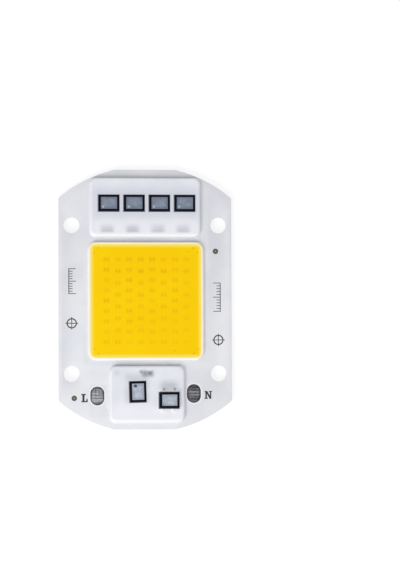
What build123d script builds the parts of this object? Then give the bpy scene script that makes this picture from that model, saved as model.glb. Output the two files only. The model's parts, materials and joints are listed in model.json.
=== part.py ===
"""Driverless AC chip-on-board LED module, 40 x 60 mm.

An aluminium-core board carries 68 flip-chip dies in a dam of phosphor gel. Four linear driver
ICs and their sense resistors are potted above the light field, and the bridge rectifier and
control IC are potted below it, between the line and neutral wire pads. Sizes are in
millimetres. The origin is at the centre of the board's back face, +Z out of the lit side, and
+Y towards the driver ICs.
"""

import os
from math import atan2, cos, degrees, hypot, radians, sin, tan

from build123d import *

os.makedirs("parts", exist_ok=True)

# Board layers
base_thickness = 1.4
dielectric_thickness = 0.1
copper_thickness = 0.07
mask_thickness = 0.035

# Bare board round the three moulded blocks
top_land = 1.7
bottom_land = 1.45
side_land = 6.55
trim_land = 0.23
light_shift = 0.1

# Screw holes
hole_diameter = 3.7
hole_edge_distance = 3.0
hole_spacing_y = 34.3

# Light-emitting dies and the copper strips that they bridge
die_length = 1.3
die_width = 0.8
die_height = 0.25
die_columns = 8
long_column_rows = 9
short_column_rows = 8
die_column_pitch = 2.64
die_column_height = 19.08
die_shift = 0.1
strip_gap = 0.25
window_margin = 0.6

# Dam and gel
gel_margin = 3.51
gel_corner_radius = 1.5
dam_width = 0.7
dam_height = 0.8
dam_shoulder = 0.5
brim_gap = 0.02

# Moulded blocks
block_height = 1.15
block_shoulder = 0.9
shoulder_facets = 2
driver_gap = 0.9
driver_side_margin = 1.725
driver_top_margin = 4.15
driver_block_radius = 1.8
driver_block_shift = -0.05
input_gap = 1.05
input_block_width = 17.6
input_block_length = 13.4
input_block_radius = 1.85
input_block_shift = 0.3

# Eight-lead small-outline package
ic_length = 4.9
ic_width = 3.9
ic_height = 1.4
ic_standoff = 0.15
ic_draft = 5
ic_bevel = 0.3
ic_lead_pitch = 1.27
ic_lead_width = 0.42
ic_lead_thickness = 0.2
ic_lead_span = 6.0
ic_foot_length = 0.6
ic_leads_per_side = 4
lead_slope = 0.12

# Bridge rectifier package
bridge_length = 4.7
bridge_width = 3.8
bridge_height = 2.3
bridge_standoff = 0.1
bridge_lead_pitch = 2.5
bridge_lead_width = 0.7
bridge_lead_thickness = 0.22
bridge_lead_span = 6.9
bridge_foot_length = 0.9

# Chip parts, each as length, width, height and end cap length
resistor_size = (3.2, 1.6, 0.6, 0.5)
capacitor_size = (3.2, 1.6, 1.2, 0.55)
bias_size = (2.0, 1.25, 0.5, 0.35)
cap_plating = 0.05

# Places in the driver block
driver_count = 4
ic_pitch = 5.85
ic_row_shift = 0.38
resistor_row_y = 2.1
resistor_to_ic_y = 5.8
resistor_shift = -0.18

# Places in the input block, from its centre
control_place = (-2.14, 0.58)
control_turn = 91.5
bridge_place = (5.08, -1.4)
capacitor_place = (-0.07, 4.95)
bias_place = (-7.05, 4.95)

# Copper tracks
tap_width = 0.8
tap_to_ic = 2.9
bus_width = 1.6
bus_light_overlap = 0.9
bus_gap = 0.5
light_bus_overhang = 0.85
pad_margin = 0.15
feed_width = 1.5
return_width = 1.0
pour_width = 1.4

# Wire pads
wire_pad_width = 3.2
wire_pad_length = 4.3
wire_pad_height = 0.15
wire_pad_copper_margin = 0.25
wire_pad_gap = 0.75
wire_pad_drop = 0.15
wire_pad_skew = 0.24

# Heights of the layers
dielectric_bottom = base_thickness
dielectric_top = dielectric_bottom + dielectric_thickness
copper_top = dielectric_top + copper_thickness
mask_top = copper_top + mask_thickness
block_top = mask_top + block_height

# Light field, from the dies outwards
array_width = (die_columns - 1) * die_column_pitch
gel_width = array_width + 2 * gel_margin
gel_length = die_column_height + 2 * gel_margin
light_width = gel_width + 2 * dam_width
light_length = gel_length + 2 * dam_width

# Driver block, from its packages outwards
driver_row_length = (driver_count - 1) * ic_pitch + ic_length
driver_block_width = driver_row_length + 2 * driver_side_margin
driver_block_length = resistor_row_y + resistor_to_ic_y + ic_width / 2 + driver_top_margin

# Board, from the stack of blocks outwards
board_width = light_width + 2 * side_land
board_length = (
    bottom_land
    + input_block_length
    + input_gap
    + light_length
    + driver_gap
    + driver_block_length
    + top_land
)
input_bottom = -board_length / 2 + bottom_land
input_y = input_bottom + input_block_length / 2
light_bottom = input_bottom + input_block_length + input_gap
light_y = light_bottom + light_length / 2
light_top = light_bottom + light_length
wire_pad_spacing = input_block_width + 2 * wire_pad_gap + wire_pad_width
wire_pad_y = input_y - wire_pad_drop
driver_bottom = light_top + driver_gap
driver_y = driver_bottom + driver_block_length / 2
die_x = light_shift + die_shift

# The round trim passes just outside the driver block's upper corners
corner_x = driver_block_width / 2 + abs(driver_block_shift) - driver_block_radius
corner_y = driver_y + driver_block_length / 2 - driver_block_radius
trim_radius = hypot(corner_x, corner_y) + driver_block_radius + trim_land

# Driver packages and resistors
ic_y = driver_bottom + resistor_row_y + resistor_to_ic_y
resistor_y = driver_bottom + resistor_row_y
ic_places = [
    (driver_block_shift + ic_row_shift + (i - (driver_count - 1) / 2) * ic_pitch, ic_y)
    for i in range(driver_count)
]
resistor_places = [(x + resistor_shift, resistor_y) for x, _ in ic_places]


def in_input_block(place):
    """A place given from the input block's centre, on the board."""
    return (place[0] + input_block_shift, place[1] + input_y)


def save(built, label):
    """Name a finished piece and write its file."""
    built.part.label = label
    export_step(built.part, f"parts/{label}.step")


def area(x_low, y_low, x_high, y_high):
    """Add a rectangle to the sketch in hand, from its two corners."""
    with Locations(((x_low + x_high) / 2, (y_low + y_high) / 2)):
        Rectangle(x_high - x_low, y_high - y_low)


def extrude_board(thickness, bottom):
    """The board's outline with its screw holes, as a layer of the given thickness."""
    with BuildPart() as layer:
        with BuildSketch(Plane.XY.offset(bottom)):
            Rectangle(board_width, board_length)
            Circle(trim_radius, mode=Mode.INTERSECT)
            with GridLocations(board_width - 2 * hole_edge_distance, hole_spacing_y, 2, 2):
                Circle(hole_diameter / 2, mode=Mode.SUBTRACT)
        extrude(amount=thickness)
    return layer


def column_x(column):
    """Centre of a column of dies."""
    return die_x + column * die_column_pitch - array_width / 2


def die_places():
    """Centres of the dies: nine and eight to a column in turn, over the same height."""
    places = []
    for column in range(die_columns):
        rows = long_column_rows if column % 2 == 0 else short_column_rows
        row_pitch = die_column_height / (rows - 1)
        for row in range(rows):
            places.append((column_x(column), light_y - die_column_height / 2 + row * row_pitch))
    return places


# Aluminium base and the insulating layer on it
aluminium_base = extrude_board(base_thickness, 0)
save(aluminium_base, "aluminium_base")

dielectric_layer = extrude_board(dielectric_thickness, dielectric_bottom)
save(dielectric_layer, "dielectric_layer")

# Copper circuit: strips under the dies, taps to the drivers, two buses and the pads
window_width = array_width + die_length + 2 * window_margin
window_length = die_column_height + die_width + 2 * window_margin
strip_top = light_y + window_length / 2
strip_bottom = light_y - window_length / 2
bus_bottom = light_bottom - bus_light_overlap
bus_top = bus_bottom + bus_width
left_edge = light_shift - light_width / 2 - light_bus_overhang
right_bus_left = light_shift + light_width / 2 - bus_gap
right_bus_right = right_bus_left + bus_width
foot_y = ic_lead_span / 2 - ic_foot_length / 2
foot_zone = ic_foot_length / 2 + pad_margin
pin_x = [(i - (ic_leads_per_side - 1) / 2) * ic_lead_pitch for i in range(ic_leads_per_side)]
pin_half = ic_lead_width / 2 + pad_margin
ground_pour_bottom = ic_y + foot_y - foot_zone
ground_pour_top = ground_pour_bottom + pour_width
control_x, control_y = in_input_block(control_place)
bridge_x, bridge_y = in_input_block(bridge_place)
capacitor_x, capacitor_y = in_input_block(capacitor_place)
bias_x, bias_y = in_input_block(bias_place)
bridge_foot_y = bridge_lead_span / 2 - bridge_foot_length / 2
bridge_foot_zone = bridge_foot_length / 2 + pad_margin
bridge_pin_x = bridge_lead_pitch / 2
bridge_pin_half = bridge_lead_width / 2 + pad_margin


def cap_centre(size):
    """Distance from a chip part's centre to the middle of its end cap."""
    return size[0] / 2 - size[3] / 2


def cap_area(place, size, side):
    """A pad under one end cap of a chip part; side is -1 or 1."""
    x = place[0] + side * cap_centre(size)
    half_x = size[3] / 2 + pad_margin
    half_y = size[1] / 2 + pad_margin
    area(x - half_x, place[1] - half_y, x + half_x, place[1] + half_y)


with BuildSketch(Plane.XY.offset(dielectric_top)) as circuit:
    for strip in range(die_columns + 1):
        strip_left = left_edge if strip == 0 else column_x(strip - 1) + strip_gap / 2
        strip_right = column_x(strip) - strip_gap / 2
        if strip == die_columns:
            strip_right = column_x(strip - 1) + die_column_pitch
        area(strip_left, strip_bottom, strip_right, strip_top)
    # Positive bus, from the leftmost strip round to the bridge rectifier
    area(left_edge, bus_bottom, column_x(0) - strip_gap / 2, strip_bottom)
    area(left_edge, bus_bottom, bridge_x - bridge_pin_x + bridge_pin_half, bus_top)
    area(
        bridge_x - bridge_pin_x - bridge_pin_half,
        bridge_y + bridge_foot_y - bridge_foot_zone,
        bridge_x - bridge_pin_x + bridge_pin_half,
        bus_top,
    )
    # Ground bus, from the bridge rectifier up the right side to the drivers
    area(bridge_x + bridge_pin_x - bridge_pin_half, bus_bottom, right_bus_right, bus_top)
    area(right_bus_left, bus_bottom, right_bus_right, ground_pour_top)
    area(
        bridge_x + bridge_pin_x - bridge_pin_half,
        bridge_y + bridge_foot_y - bridge_foot_zone,
        bridge_x + bridge_pin_x + bridge_pin_half,
        bus_top,
    )
    area(
        ic_places[0][0] + pin_x[0] - pin_half,
        ground_pour_bottom,
        right_bus_right,
        ground_pour_top,
    )
    for (x, _), (resistor_x, _) in zip(ic_places, resistor_places):
        foot_low = ic_y - foot_y - foot_zone
        foot_high = ic_y - foot_y + foot_zone
        resistor_low = resistor_y - resistor_size[1] / 2 - pad_margin
        tap_right = x + tap_to_ic + tap_width / 2
        # Tap from an even strip, with the drain pin
        area(tap_right - tap_width, strip_top, tap_right, foot_high)
        area(x + pin_x[-1] - pin_half, foot_low, tap_right, foot_high)
        # Source pins, down to the resistor's left cap
        area(x + pin_x[0] - pin_half, resistor_low, x + pin_x[1] + pin_half, foot_high)
        # Ground pin and thermal land, from the pour down to the resistor's right cap
        ground_right = resistor_x + resistor_size[0] / 2
        area(x + pin_x[2] - pin_half, resistor_low, ground_right, ground_pour_top)
    # Input side: both chip parts between the positive bus and the control IC
    for place, size in ((bias_x, bias_size), (capacitor_x, capacitor_size)):
        cap_x = place - cap_centre(size)
        cap_half = size[3] / 2 + pad_margin
        area(cap_x - cap_half, capacitor_y - size[1] / 2 - pad_margin, cap_x + cap_half, bus_top)
    control_left = control_x - foot_y
    control_right = control_x + foot_y
    control_half = pin_x[-1] + pin_half
    cap_area((bias_x, bias_y), bias_size, 1)
    cap_area((capacitor_x, capacitor_y), capacitor_size, 1)
    bias_right = bias_x + cap_centre(bias_size)
    bias_track_half = bias_size[3] / 2 + pad_margin
    bias_track_left = bias_right - bias_track_half
    area(bias_track_left, control_y + pin_x[2], bias_right + bias_track_half, bias_y)
    area(
        bias_track_left,
        control_y + pin_x[2] - pin_half,
        control_left + foot_zone,
        control_y + control_half,
    )
    area(
        control_left - foot_zone,
        control_y - control_half,
        control_left + foot_zone,
        control_y + pin_x[1] + pin_half,
    )
    area(
        control_right - foot_zone,
        control_y + pin_x[2] - pin_half,
        control_right + foot_zone,
        capacitor_y,
    )
    area(
        control_right - foot_zone,
        control_y - control_half,
        control_right + foot_zone,
        control_y + pin_x[1] + pin_half,
    )
    area(
        control_right,
        bridge_y - return_width / 2,
        bridge_x + bridge_pin_x + bridge_pin_half,
        bridge_y + return_width / 2,
    )
    area(
        bridge_x + bridge_pin_x - bridge_pin_half,
        bridge_y - return_width / 2,
        bridge_x + bridge_pin_x + bridge_pin_half,
        bridge_y + bridge_foot_y,
    )
    # Line and neutral, from the wire pads to the bridge rectifier's lower pins
    for side in (-1, 1):
        pad_x = side * wire_pad_spacing / 2
        pad_y = wire_pad_y + side * wire_pad_skew
        pin = bridge_x + side * bridge_pin_x
        feed_high = bridge_y - bridge_foot_y + bridge_foot_zone
        feed_low = feed_high - feed_width
        land_half = wire_pad_width / 2 + wire_pad_copper_margin
        land_top = pad_y + wire_pad_length / 2 + wire_pad_copper_margin
        area(
            min(pad_x, pin - bridge_pin_half),
            feed_low,
            max(pad_x, pin + bridge_pin_half),
            feed_high,
        )
        area(pad_x - land_half, feed_low, pad_x + land_half, land_top)

with BuildPart() as copper_circuit:
    add(circuit.sketch)
    extrude(amount=copper_thickness)
save(copper_circuit, "copper_circuit")

# Wire pads: tinned lands that stand a little above the mask
wire_pads = []
for side, label in ((-1, "line_pad_solder"), (1, "neutral_pad_solder")):
    with BuildPart() as wire_pad:
        with BuildSketch(Plane.XY.offset(copper_top)):
            with Locations((side * wire_pad_spacing / 2, wire_pad_y + side * wire_pad_skew)):
                SlotOverall(wire_pad_length, wire_pad_width, rotation=90)
        extrude(amount=wire_pad_height)
    save(wire_pad, label)
    wire_pads.append(wire_pad)

# Dies, each across the gap between two strips
with BuildPart() as led_dies:
    with BuildSketch(Plane.XY.offset(copper_top)):
        with Locations(*die_places()):
            Rectangle(die_length, die_width)
    extrude(amount=die_height)
save(led_dies, "led_dies")


def package_body(length, width, height, bottom, bevel):
    """A moulded package, widest at its parting line, with a bevelled top."""
    with BuildPart() as body:
        with BuildSketch(Plane.XY.offset(bottom + height / 2)):
            Rectangle(length, width)
        extrude(amount=height / 2, taper=ic_draft)
        with BuildSketch(Plane.XY.offset(bottom + height / 2)):
            Rectangle(length, width)
        extrude(amount=-height / 2, taper=ic_draft)
        chamfer(body.edges().group_by(Axis.Z)[-1], length=bevel)
    return body


def air_gap(length, width, height, standoff):
    """The gap between a package's underside and the board, which the silicone doesn't reach."""
    inset = height / 2 * tan(radians(ic_draft))
    with BuildPart() as gap:
        with BuildSketch(Plane.XY.offset(copper_top)):
            Rectangle(length - 2 * inset, width - 2 * inset)
        extrude(amount=standoff)
    return gap


def bent_strip(points, width):
    """A prism across the Y-Z plane with the given outline, centred on x = 0."""
    with BuildPart() as strip:
        with BuildSketch(Plane.YZ.offset(-width / 2)):
            with BuildLine():
                Polyline(*points, close=True)
            make_face()
        extrude(amount=width)
    return strip


def gull_wing(width, thickness, root, root_z, span_half, foot_length):
    """One lead on the +Y side, and the space that it bridges over in the silicone."""
    half = thickness / 2
    foot_z = copper_top + half
    heel = span_half - foot_length
    knee = heel - lead_slope
    mitre = half * tan(atan2(root_z - foot_z, lead_slope) / 2)
    upper = [
        (root, root_z + half),
        (knee + mitre, root_z + half),
        (heel + mitre, foot_z + half),
        (span_half, foot_z + half),
    ]
    lower = [
        (span_half, foot_z - half),
        (heel - mitre, foot_z - half),
        (knee - mitre, root_z - half),
        (root, root_z - half),
    ]
    under = [(span_half, copper_top), (root - pad_margin, copper_top)]
    under.append((root - pad_margin, root_z + half))
    return bent_strip(upper + lower, width), bent_strip(upper + under, width)


def lead_rows(lead, pitch, count, place, turn):
    """Both rows of a package's leads, set on the board."""
    with BuildPart() as rows:
        with Locations(Location((place[0], place[1], 0), (0, 0, turn))):
            for side in (0, 180):
                with Locations(Location((0, 0, 0), (0, 0, side))):
                    with GridLocations(pitch, 1, count, 1):
                        add(lead.part)
    return rows


def placed(built, place, turn):
    """A piece made at the origin, set on the board."""
    with BuildPart() as moved:
        with Locations(Location((place[0], place[1], 0), (0, 0, turn))):
            add(built.part)
    return moved


# Driver and control packages share one body and one lead
small_outline = package_body(
    ic_length, ic_width, ic_height, copper_top + ic_standoff, ic_bevel
)
ic_lead, ic_arch = gull_wing(
    ic_lead_width,
    ic_lead_thickness,
    ic_width / 2,
    copper_top + ic_standoff + ic_height / 2,
    ic_lead_span / 2,
    ic_foot_length,
)

small_outline_gap = air_gap(ic_length, ic_width, ic_height, ic_standoff)

driver_pieces = []
for number, place in enumerate(ic_places, start=1):
    ic_body = placed(small_outline, place, 0)
    save(ic_body, f"driver_ic_{number}")
    ic_leads = lead_rows(ic_lead, ic_lead_pitch, ic_leads_per_side, place, 0)
    save(ic_leads, f"driver_ic_{number}_leads")
    ic_arches = lead_rows(ic_arch, ic_lead_pitch, ic_leads_per_side, place, 0)
    driver_pieces += [ic_body, ic_arches, placed(small_outline_gap, place, 0)]

control_ic = placed(small_outline, (control_x, control_y), control_turn)
save(control_ic, "control_ic")
control_ic_leads = lead_rows(
    ic_lead, ic_lead_pitch, ic_leads_per_side, (control_x, control_y), control_turn
)
save(control_ic_leads, "control_ic_leads")
control_ic_arches = lead_rows(
    ic_arch, ic_lead_pitch, ic_leads_per_side, (control_x, control_y), control_turn
)
control_ic_gap = placed(small_outline_gap, (control_x, control_y), control_turn)

# Bridge rectifier
bridge_body = package_body(
    bridge_length, bridge_width, bridge_height, copper_top + bridge_standoff, ic_bevel
)
bridge_lead, bridge_arch = gull_wing(
    bridge_lead_width,
    bridge_lead_thickness,
    bridge_width / 2,
    copper_top + bridge_standoff + bridge_height / 2,
    bridge_lead_span / 2,
    bridge_foot_length,
)
bridge_rectifier = placed(bridge_body, (bridge_x, bridge_y), 0)
save(bridge_rectifier, "bridge_rectifier")
bridge_leads = lead_rows(bridge_lead, bridge_lead_pitch, 2, (bridge_x, bridge_y), 0)
save(bridge_leads, "bridge_rectifier_leads")
bridge_arches = lead_rows(bridge_arch, bridge_lead_pitch, 2, (bridge_x, bridge_y), 0)
bridge_air_gap = air_gap(bridge_length, bridge_width, bridge_height, bridge_standoff)
bridge_gap = placed(bridge_air_gap, (bridge_x, bridge_y), 0)


def chip_part(place, size, label):
    """A chip part: a ceramic block between two plated end caps that stand proud of it."""
    length, width, height, cap_length = size
    with BuildPart() as block:
        with BuildSketch(Plane.XY.offset(copper_top)):
            with Locations(place):
                Rectangle(length - 2 * cap_length, width)
        extrude(amount=height - cap_plating)
    save(block, label)
    with BuildPart() as caps:
        with BuildSketch(Plane.XY.offset(copper_top)):
            with Locations(place):
                with GridLocations(2 * cap_centre(size), 1, 2, 1):
                    Rectangle(cap_length, width)
        extrude(amount=height)
    save(caps, f"{label}_caps")
    return [block, caps]


for number, place in enumerate(resistor_places, start=1):
    driver_pieces += chip_part(place, resistor_size, f"sense_resistor_{number}")
input_pieces = [
    control_ic,
    control_ic_arches,
    control_ic_gap,
    bridge_rectifier,
    bridge_arches,
    bridge_gap,
]
input_pieces += chip_part((capacitor_x, capacitor_y), capacitor_size, "feed_capacitor")
input_pieces += chip_part((bias_x, bias_y), bias_size, "bias_resistor")


def shouldered_block(width, length, radius, place, bottom, top, shoulder):
    """A rounded rectangle whose sides lean in to a shoulder that is rounded off in facets."""
    inset = 0
    height = bottom
    with BuildPart() as block:
        for facet in range(1, shoulder_facets + 1):
            angle = radians(90 * facet / shoulder_facets)
            next_inset = shoulder * (1 - cos(angle))
            next_height = top - shoulder * (1 - sin(angle))
            rise = next_height - height
            with BuildSketch(Plane.XY.offset(height)):
                with Locations(place):
                    RectangleRounded(width - 2 * inset, length - 2 * inset, radius - inset)
            extrude(amount=rise, taper=degrees(atan2(next_inset - inset, rise)))
            inset = next_inset
            height = next_height
    return block


driver_centre = (driver_block_shift, driver_y)
input_centre = (input_block_shift, input_y)
light_centre = (light_shift, light_y)

# Solder mask: fills between the tracks, covers them, and is open at every pad
mask_blank = extrude_board(mask_top - dielectric_top, dielectric_top)
with BuildPart() as solder_mask:
    add(mask_blank.part)
    add(copper_circuit.part, mode=Mode.SUBTRACT)
    with BuildSketch(Plane.XY.offset(copper_top)):
        # One opening over the whole array of dies
        with Locations((die_x, light_y)):
            Rectangle(window_width, window_length)
        # One opening under each package, over its pins and thermal pad
        opening_width = pin_x[-1] - pin_x[0] + 2 * pin_half
        opening_length = ic_lead_span + 2 * pad_margin
        with Locations(*ic_places):
            Rectangle(opening_width, opening_length)
        with Locations((control_x, control_y)):
            Rectangle(opening_length, opening_width)
        with Locations((bridge_x, bridge_y)):
            Rectangle(
                2 * (bridge_pin_x + bridge_pin_half),
                bridge_lead_span + 2 * pad_margin,
            )
        # One opening under each chip part
        chip_places = [(place, resistor_size) for place in resistor_places]
        chip_places.append(((capacitor_x, capacitor_y), capacitor_size))
        chip_places.append(((bias_x, bias_y), bias_size))
        for place, size in chip_places:
            with Locations(place):
                Rectangle(size[0], size[1])
        for side in (-1, 1):
            with Locations((side * wire_pad_spacing / 2, wire_pad_y + side * wire_pad_skew)):
                SlotOverall(wire_pad_length, wire_pad_width, rotation=90)
    extrude(amount=mask_thickness, mode=Mode.SUBTRACT)
save(solder_mask, "solder_mask")

# Dam: a bead of silicone round the light field
dam_blank = shouldered_block(
    light_width,
    light_length,
    gel_corner_radius + dam_width,
    light_centre,
    mask_top,
    mask_top + dam_height,
    dam_shoulder,
)
with BuildPart() as led_dam:
    add(dam_blank.part)
    with BuildSketch(Plane.XY.offset(mask_top)):
        with Locations(light_centre):
            RectangleRounded(gel_width, gel_length, gel_corner_radius)
    extrude(amount=dam_height, mode=Mode.SUBTRACT)
save(led_dam, "led_dam")

# Gel: fills the dam to its brim and lies round the dies
with BuildPart() as phosphor_gel:
    with BuildSketch(Plane.XY.offset(copper_top)):
        with Locations(light_centre):
            RectangleRounded(gel_width, gel_length, gel_corner_radius)
    extrude(amount=mask_top + dam_height - brim_gap - copper_top)
    for piece in (solder_mask, led_dies):
        add(piece.part, mode=Mode.SUBTRACT)
save(phosphor_gel, "phosphor_gel")


def potting(width, length, radius, place, pieces):
    """Silicone poured over a block's parts; the parts and their air gaps are cut out of it."""
    blank = shouldered_block(width, length, radius, place, mask_top, block_top, block_shoulder)
    with BuildPart() as poured:
        add(blank.part)
        for piece in pieces:
            add(piece.part, mode=Mode.SUBTRACT)
    return poured


driver_potting = potting(
    driver_block_width,
    driver_block_length,
    driver_block_radius,
    driver_centre,
    driver_pieces,
)
save(driver_potting, "driver_potting")

input_potting = potting(
    input_block_width,
    input_block_length,
    input_block_radius,
    input_centre,
    input_pieces,
)
save(input_potting, "input_potting")
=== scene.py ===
"""Surfaces, finishes and studio for a driverless chip-on-board LED module.

Every length in the property groups is a real size in metres.
"""

import json
from math import cos, hypot, pi, radians, sin, sqrt, tan

import bmesh
import bpy
import numpy as np
from bpy.props import FloatProperty, FloatVectorProperty, PointerProperty
from bpy.types import Operator, Panel, PropertyGroup
from mathutils import Matrix, Vector


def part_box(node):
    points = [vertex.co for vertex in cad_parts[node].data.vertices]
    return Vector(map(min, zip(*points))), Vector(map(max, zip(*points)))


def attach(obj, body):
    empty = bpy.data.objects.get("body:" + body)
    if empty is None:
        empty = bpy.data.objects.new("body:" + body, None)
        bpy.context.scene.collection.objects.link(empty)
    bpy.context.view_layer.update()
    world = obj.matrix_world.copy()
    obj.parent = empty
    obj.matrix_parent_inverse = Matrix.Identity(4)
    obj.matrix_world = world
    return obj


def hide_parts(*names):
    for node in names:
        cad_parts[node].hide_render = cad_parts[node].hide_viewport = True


bl_info = {
    "name": "LED module",
    "version": (1, 0, 0),
    "blender": (4, 5, 0),
    "location": "View3D > Sidebar > LED module",
    "description": "Builds the surfaces and finishes of a chip-on-board LED module with its drivers",
    "category": "Object",
}

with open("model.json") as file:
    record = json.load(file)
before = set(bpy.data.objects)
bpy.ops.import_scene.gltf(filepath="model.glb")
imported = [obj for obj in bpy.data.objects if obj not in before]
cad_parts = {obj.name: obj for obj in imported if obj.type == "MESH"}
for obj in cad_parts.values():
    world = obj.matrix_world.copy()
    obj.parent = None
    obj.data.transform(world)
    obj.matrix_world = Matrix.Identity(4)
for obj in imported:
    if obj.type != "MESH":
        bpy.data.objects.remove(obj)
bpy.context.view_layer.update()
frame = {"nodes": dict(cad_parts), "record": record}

MM = 0.001
DRIVERS = [f"driver_ic_{number}" for number in range(1, 5)]
RESISTORS = [f"sense_resistor_{number}" for number in range(1, 5)]

# Each wire pad's node, and how bright its tin is
PADS = {"line_pad": ("line_pad_solder", 1.3), "neutral_pad": ("neutral_pad_solder", 0.6)}

# Points closer than WELD are one point
WELD = 1e-7

# Heights closer than NEAR are one level
NEAR = 1e-6

# A face whose normal is more upright than FLAT is shaded flat
FLAT = 0.999999


# Places read from the frame

def node_rect(node):
    """Centre x, centre y, width and length of a node, seen from above."""
    low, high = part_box(node)
    return (low.x + high.x) / 2, (low.y + high.y) / 2, high.x - low.x, high.y - low.y


def in_mm(rect):
    """A rectangle or a point in millimetres, as the shading takes it."""
    return tuple(value / MM for value in rect)


def top_of(node):
    """Height of a node's highest point."""
    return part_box(node)[1].z


BOARD_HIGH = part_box("aluminium_base")[1]
BASE_TOP = top_of("aluminium_base")
DIELECTRIC_TOP = top_of("dielectric_layer")
COPPER_TOP = top_of("copper_circuit")
MASK_TOP = top_of("solder_mask")
BLOCK_TOP = top_of("driver_potting")
DAM_TOP = top_of("led_dam")
GEL_TOP = top_of("phosphor_gel")


# Shader maths

class Value:
    """A number or a colour in a node tree; an expression on values adds its nodes."""

    def __init__(self, tree, socket):
        self.tree = tree
        self.socket = socket

    def maths(self, operation, *others):
        return self.tree.add("ShaderNodeMath", {"operation": operation}, {
            place: other for place, other in enumerate((self,) + others)
        })

    def __add__(self, other):
        return self.maths("ADD", other)

    def __sub__(self, other):
        return self.maths("SUBTRACT", other)

    def __rsub__(self, other):
        return self.tree.add("ShaderNodeMath", {"operation": "SUBTRACT"}, {0: other, 1: self})

    def __mul__(self, other):
        return self.maths("MULTIPLY", other)

    def __truediv__(self, other):
        return self.maths("DIVIDE", other)

    def __abs__(self):
        return self.maths("ABSOLUTE")

    __radd__ = __add__
    __rmul__ = __mul__

    def least(self, other):
        return self.maths("MINIMUM", other)

    def most(self, other):
        return self.maths("MAXIMUM", other)

    def root(self):
        return self.maths("SQRT")


class Tree:
    """The node tree of one material, with its Principled shader."""

    def __init__(self, name, **constants):
        self.material = bpy.data.materials.new(name)
        self.material.use_nodes = True
        self.nodes = self.material.node_tree.nodes
        self.links = self.material.node_tree.links
        self.shader = self.nodes["Principled BSDF"]
        self.output = self.nodes["Material Output"]
        for socket, value in constants.items():
            self.shader.inputs[socket.replace("_", " ")].default_value = value
        self.coordinates = None

    def add(self, kind, settings=None, values=None, output=0):
        """Adds a node of any type: its settings first, then the values or links of its sockets."""
        node = self.nodes.new(kind)
        for setting, value in (settings or {}).items():
            setattr(node, setting, value)
        for socket, value in (values or {}).items():
            self.feed(node.inputs[socket], value)
        return Value(self, node.outputs[output])

    def feed(self, socket, value):
        """Links a value to a socket, or sets the socket to a constant."""
        if isinstance(value, Value):
            self.links.new(value.socket, socket)
        else:
            socket.default_value = value

    def finish(self, colour, roughness, relief, depth, strength):
        """Feeds colour, roughness and bump, and gives the material.

        The relief is a height of 0 to 1 that stands for the depth, in metres.
        """
        normal = self.add("ShaderNodeBump", {}, {
            "Height": relief, "Distance": depth, "Strength": strength,
        })
        for socket, value in (("Base Color", colour), ("Roughness", roughness), ("Normal", normal)):
            self.feed(self.shader.inputs[socket], value)
        return self.material

    def place(self, scale=(1, 1, 1)):
        """Object coordinates in millimetres, scaled."""
        if self.coordinates is None:
            self.coordinates = self.add("ShaderNodeTexCoord", output="Object")
        return self.add("ShaderNodeMapping", {}, {
            "Vector": self.coordinates,
            "Scale": tuple(factor / MM for factor in scale),
        })

    def axes(self):
        """The three object coordinates in millimetres, as numbers."""
        split = self.add("ShaderNodeSeparateXYZ", {}, {0: self.place()})
        return [Value(self, output) for output in split.socket.node.outputs]

    def noise(self, scale, detail=3.0, roughness=0.6, vector=None):
        """Smooth noise about one half; scale is in cycles a millimetre."""
        return self.add("ShaderNodeTexNoise", {}, {
            "Vector": vector or self.place(),
            "Scale": scale,
            "Detail": detail,
            "Roughness": roughness,
        })

    def ramp(self, value, low, high):
        """A smooth step from 0 at low to 1 at high."""
        return self.add("ShaderNodeMapRange", {"interpolation_type": "SMOOTHSTEP"}, {
            "Value": value, "From Min": low, "From Max": high,
        })

    def mix(self, factor, first, second):
        """A blend of two colours, first where the factor is 0."""
        node = self.nodes.new("ShaderNodeMix")
        node.data_type = "RGBA"
        self.feed(node.inputs[0], factor)
        for socket, colour in ((node.inputs[6], first), (node.inputs[7], second)):
            self.feed(socket, colour if isinstance(colour, Value) else tuple(colour) + (1.0,))
        return Value(self, node.outputs[2])

    def mottled(self, pattern, first, second, low=0.3, high=0.7):
        """A blend of two colours that follows a pattern; first where it is low."""
        return self.mix(self.ramp(pattern, low, high), first, second)

    def box_mask(self, x, y, centre, size, soft, turn=0.0):
        """1 inside a rectangle and 0 outside, with a soft edge; all in millimetres."""
        dx = x - centre[0]
        dy = y - centre[1]
        if turn:
            dx, dy = dx * cos(turn) + dy * sin(turn), dy * cos(turn) - dx * sin(turn)
        across = self.ramp(abs(dx), size[0] / 2 + soft, size[0] / 2 - soft)
        along = self.ramp(abs(dy), size[1] / 2 + soft, size[1] / 2 - soft)
        return across * along

    def spot(self, x, y, centre, radius, soft):
        """1 inside a circle and 0 outside, with a soft edge; all in millimetres."""
        dx = x - centre[0]
        dy = y - centre[1]
        return self.ramp((dx * dx + dy * dy).root(), radius + soft, radius - soft)


def tinted(colour, factors):
    """A colour whose channels are each multiplied by a common factor or by their own."""
    return tuple(np.multiply(tuple(colour), factors).tolist())


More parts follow.
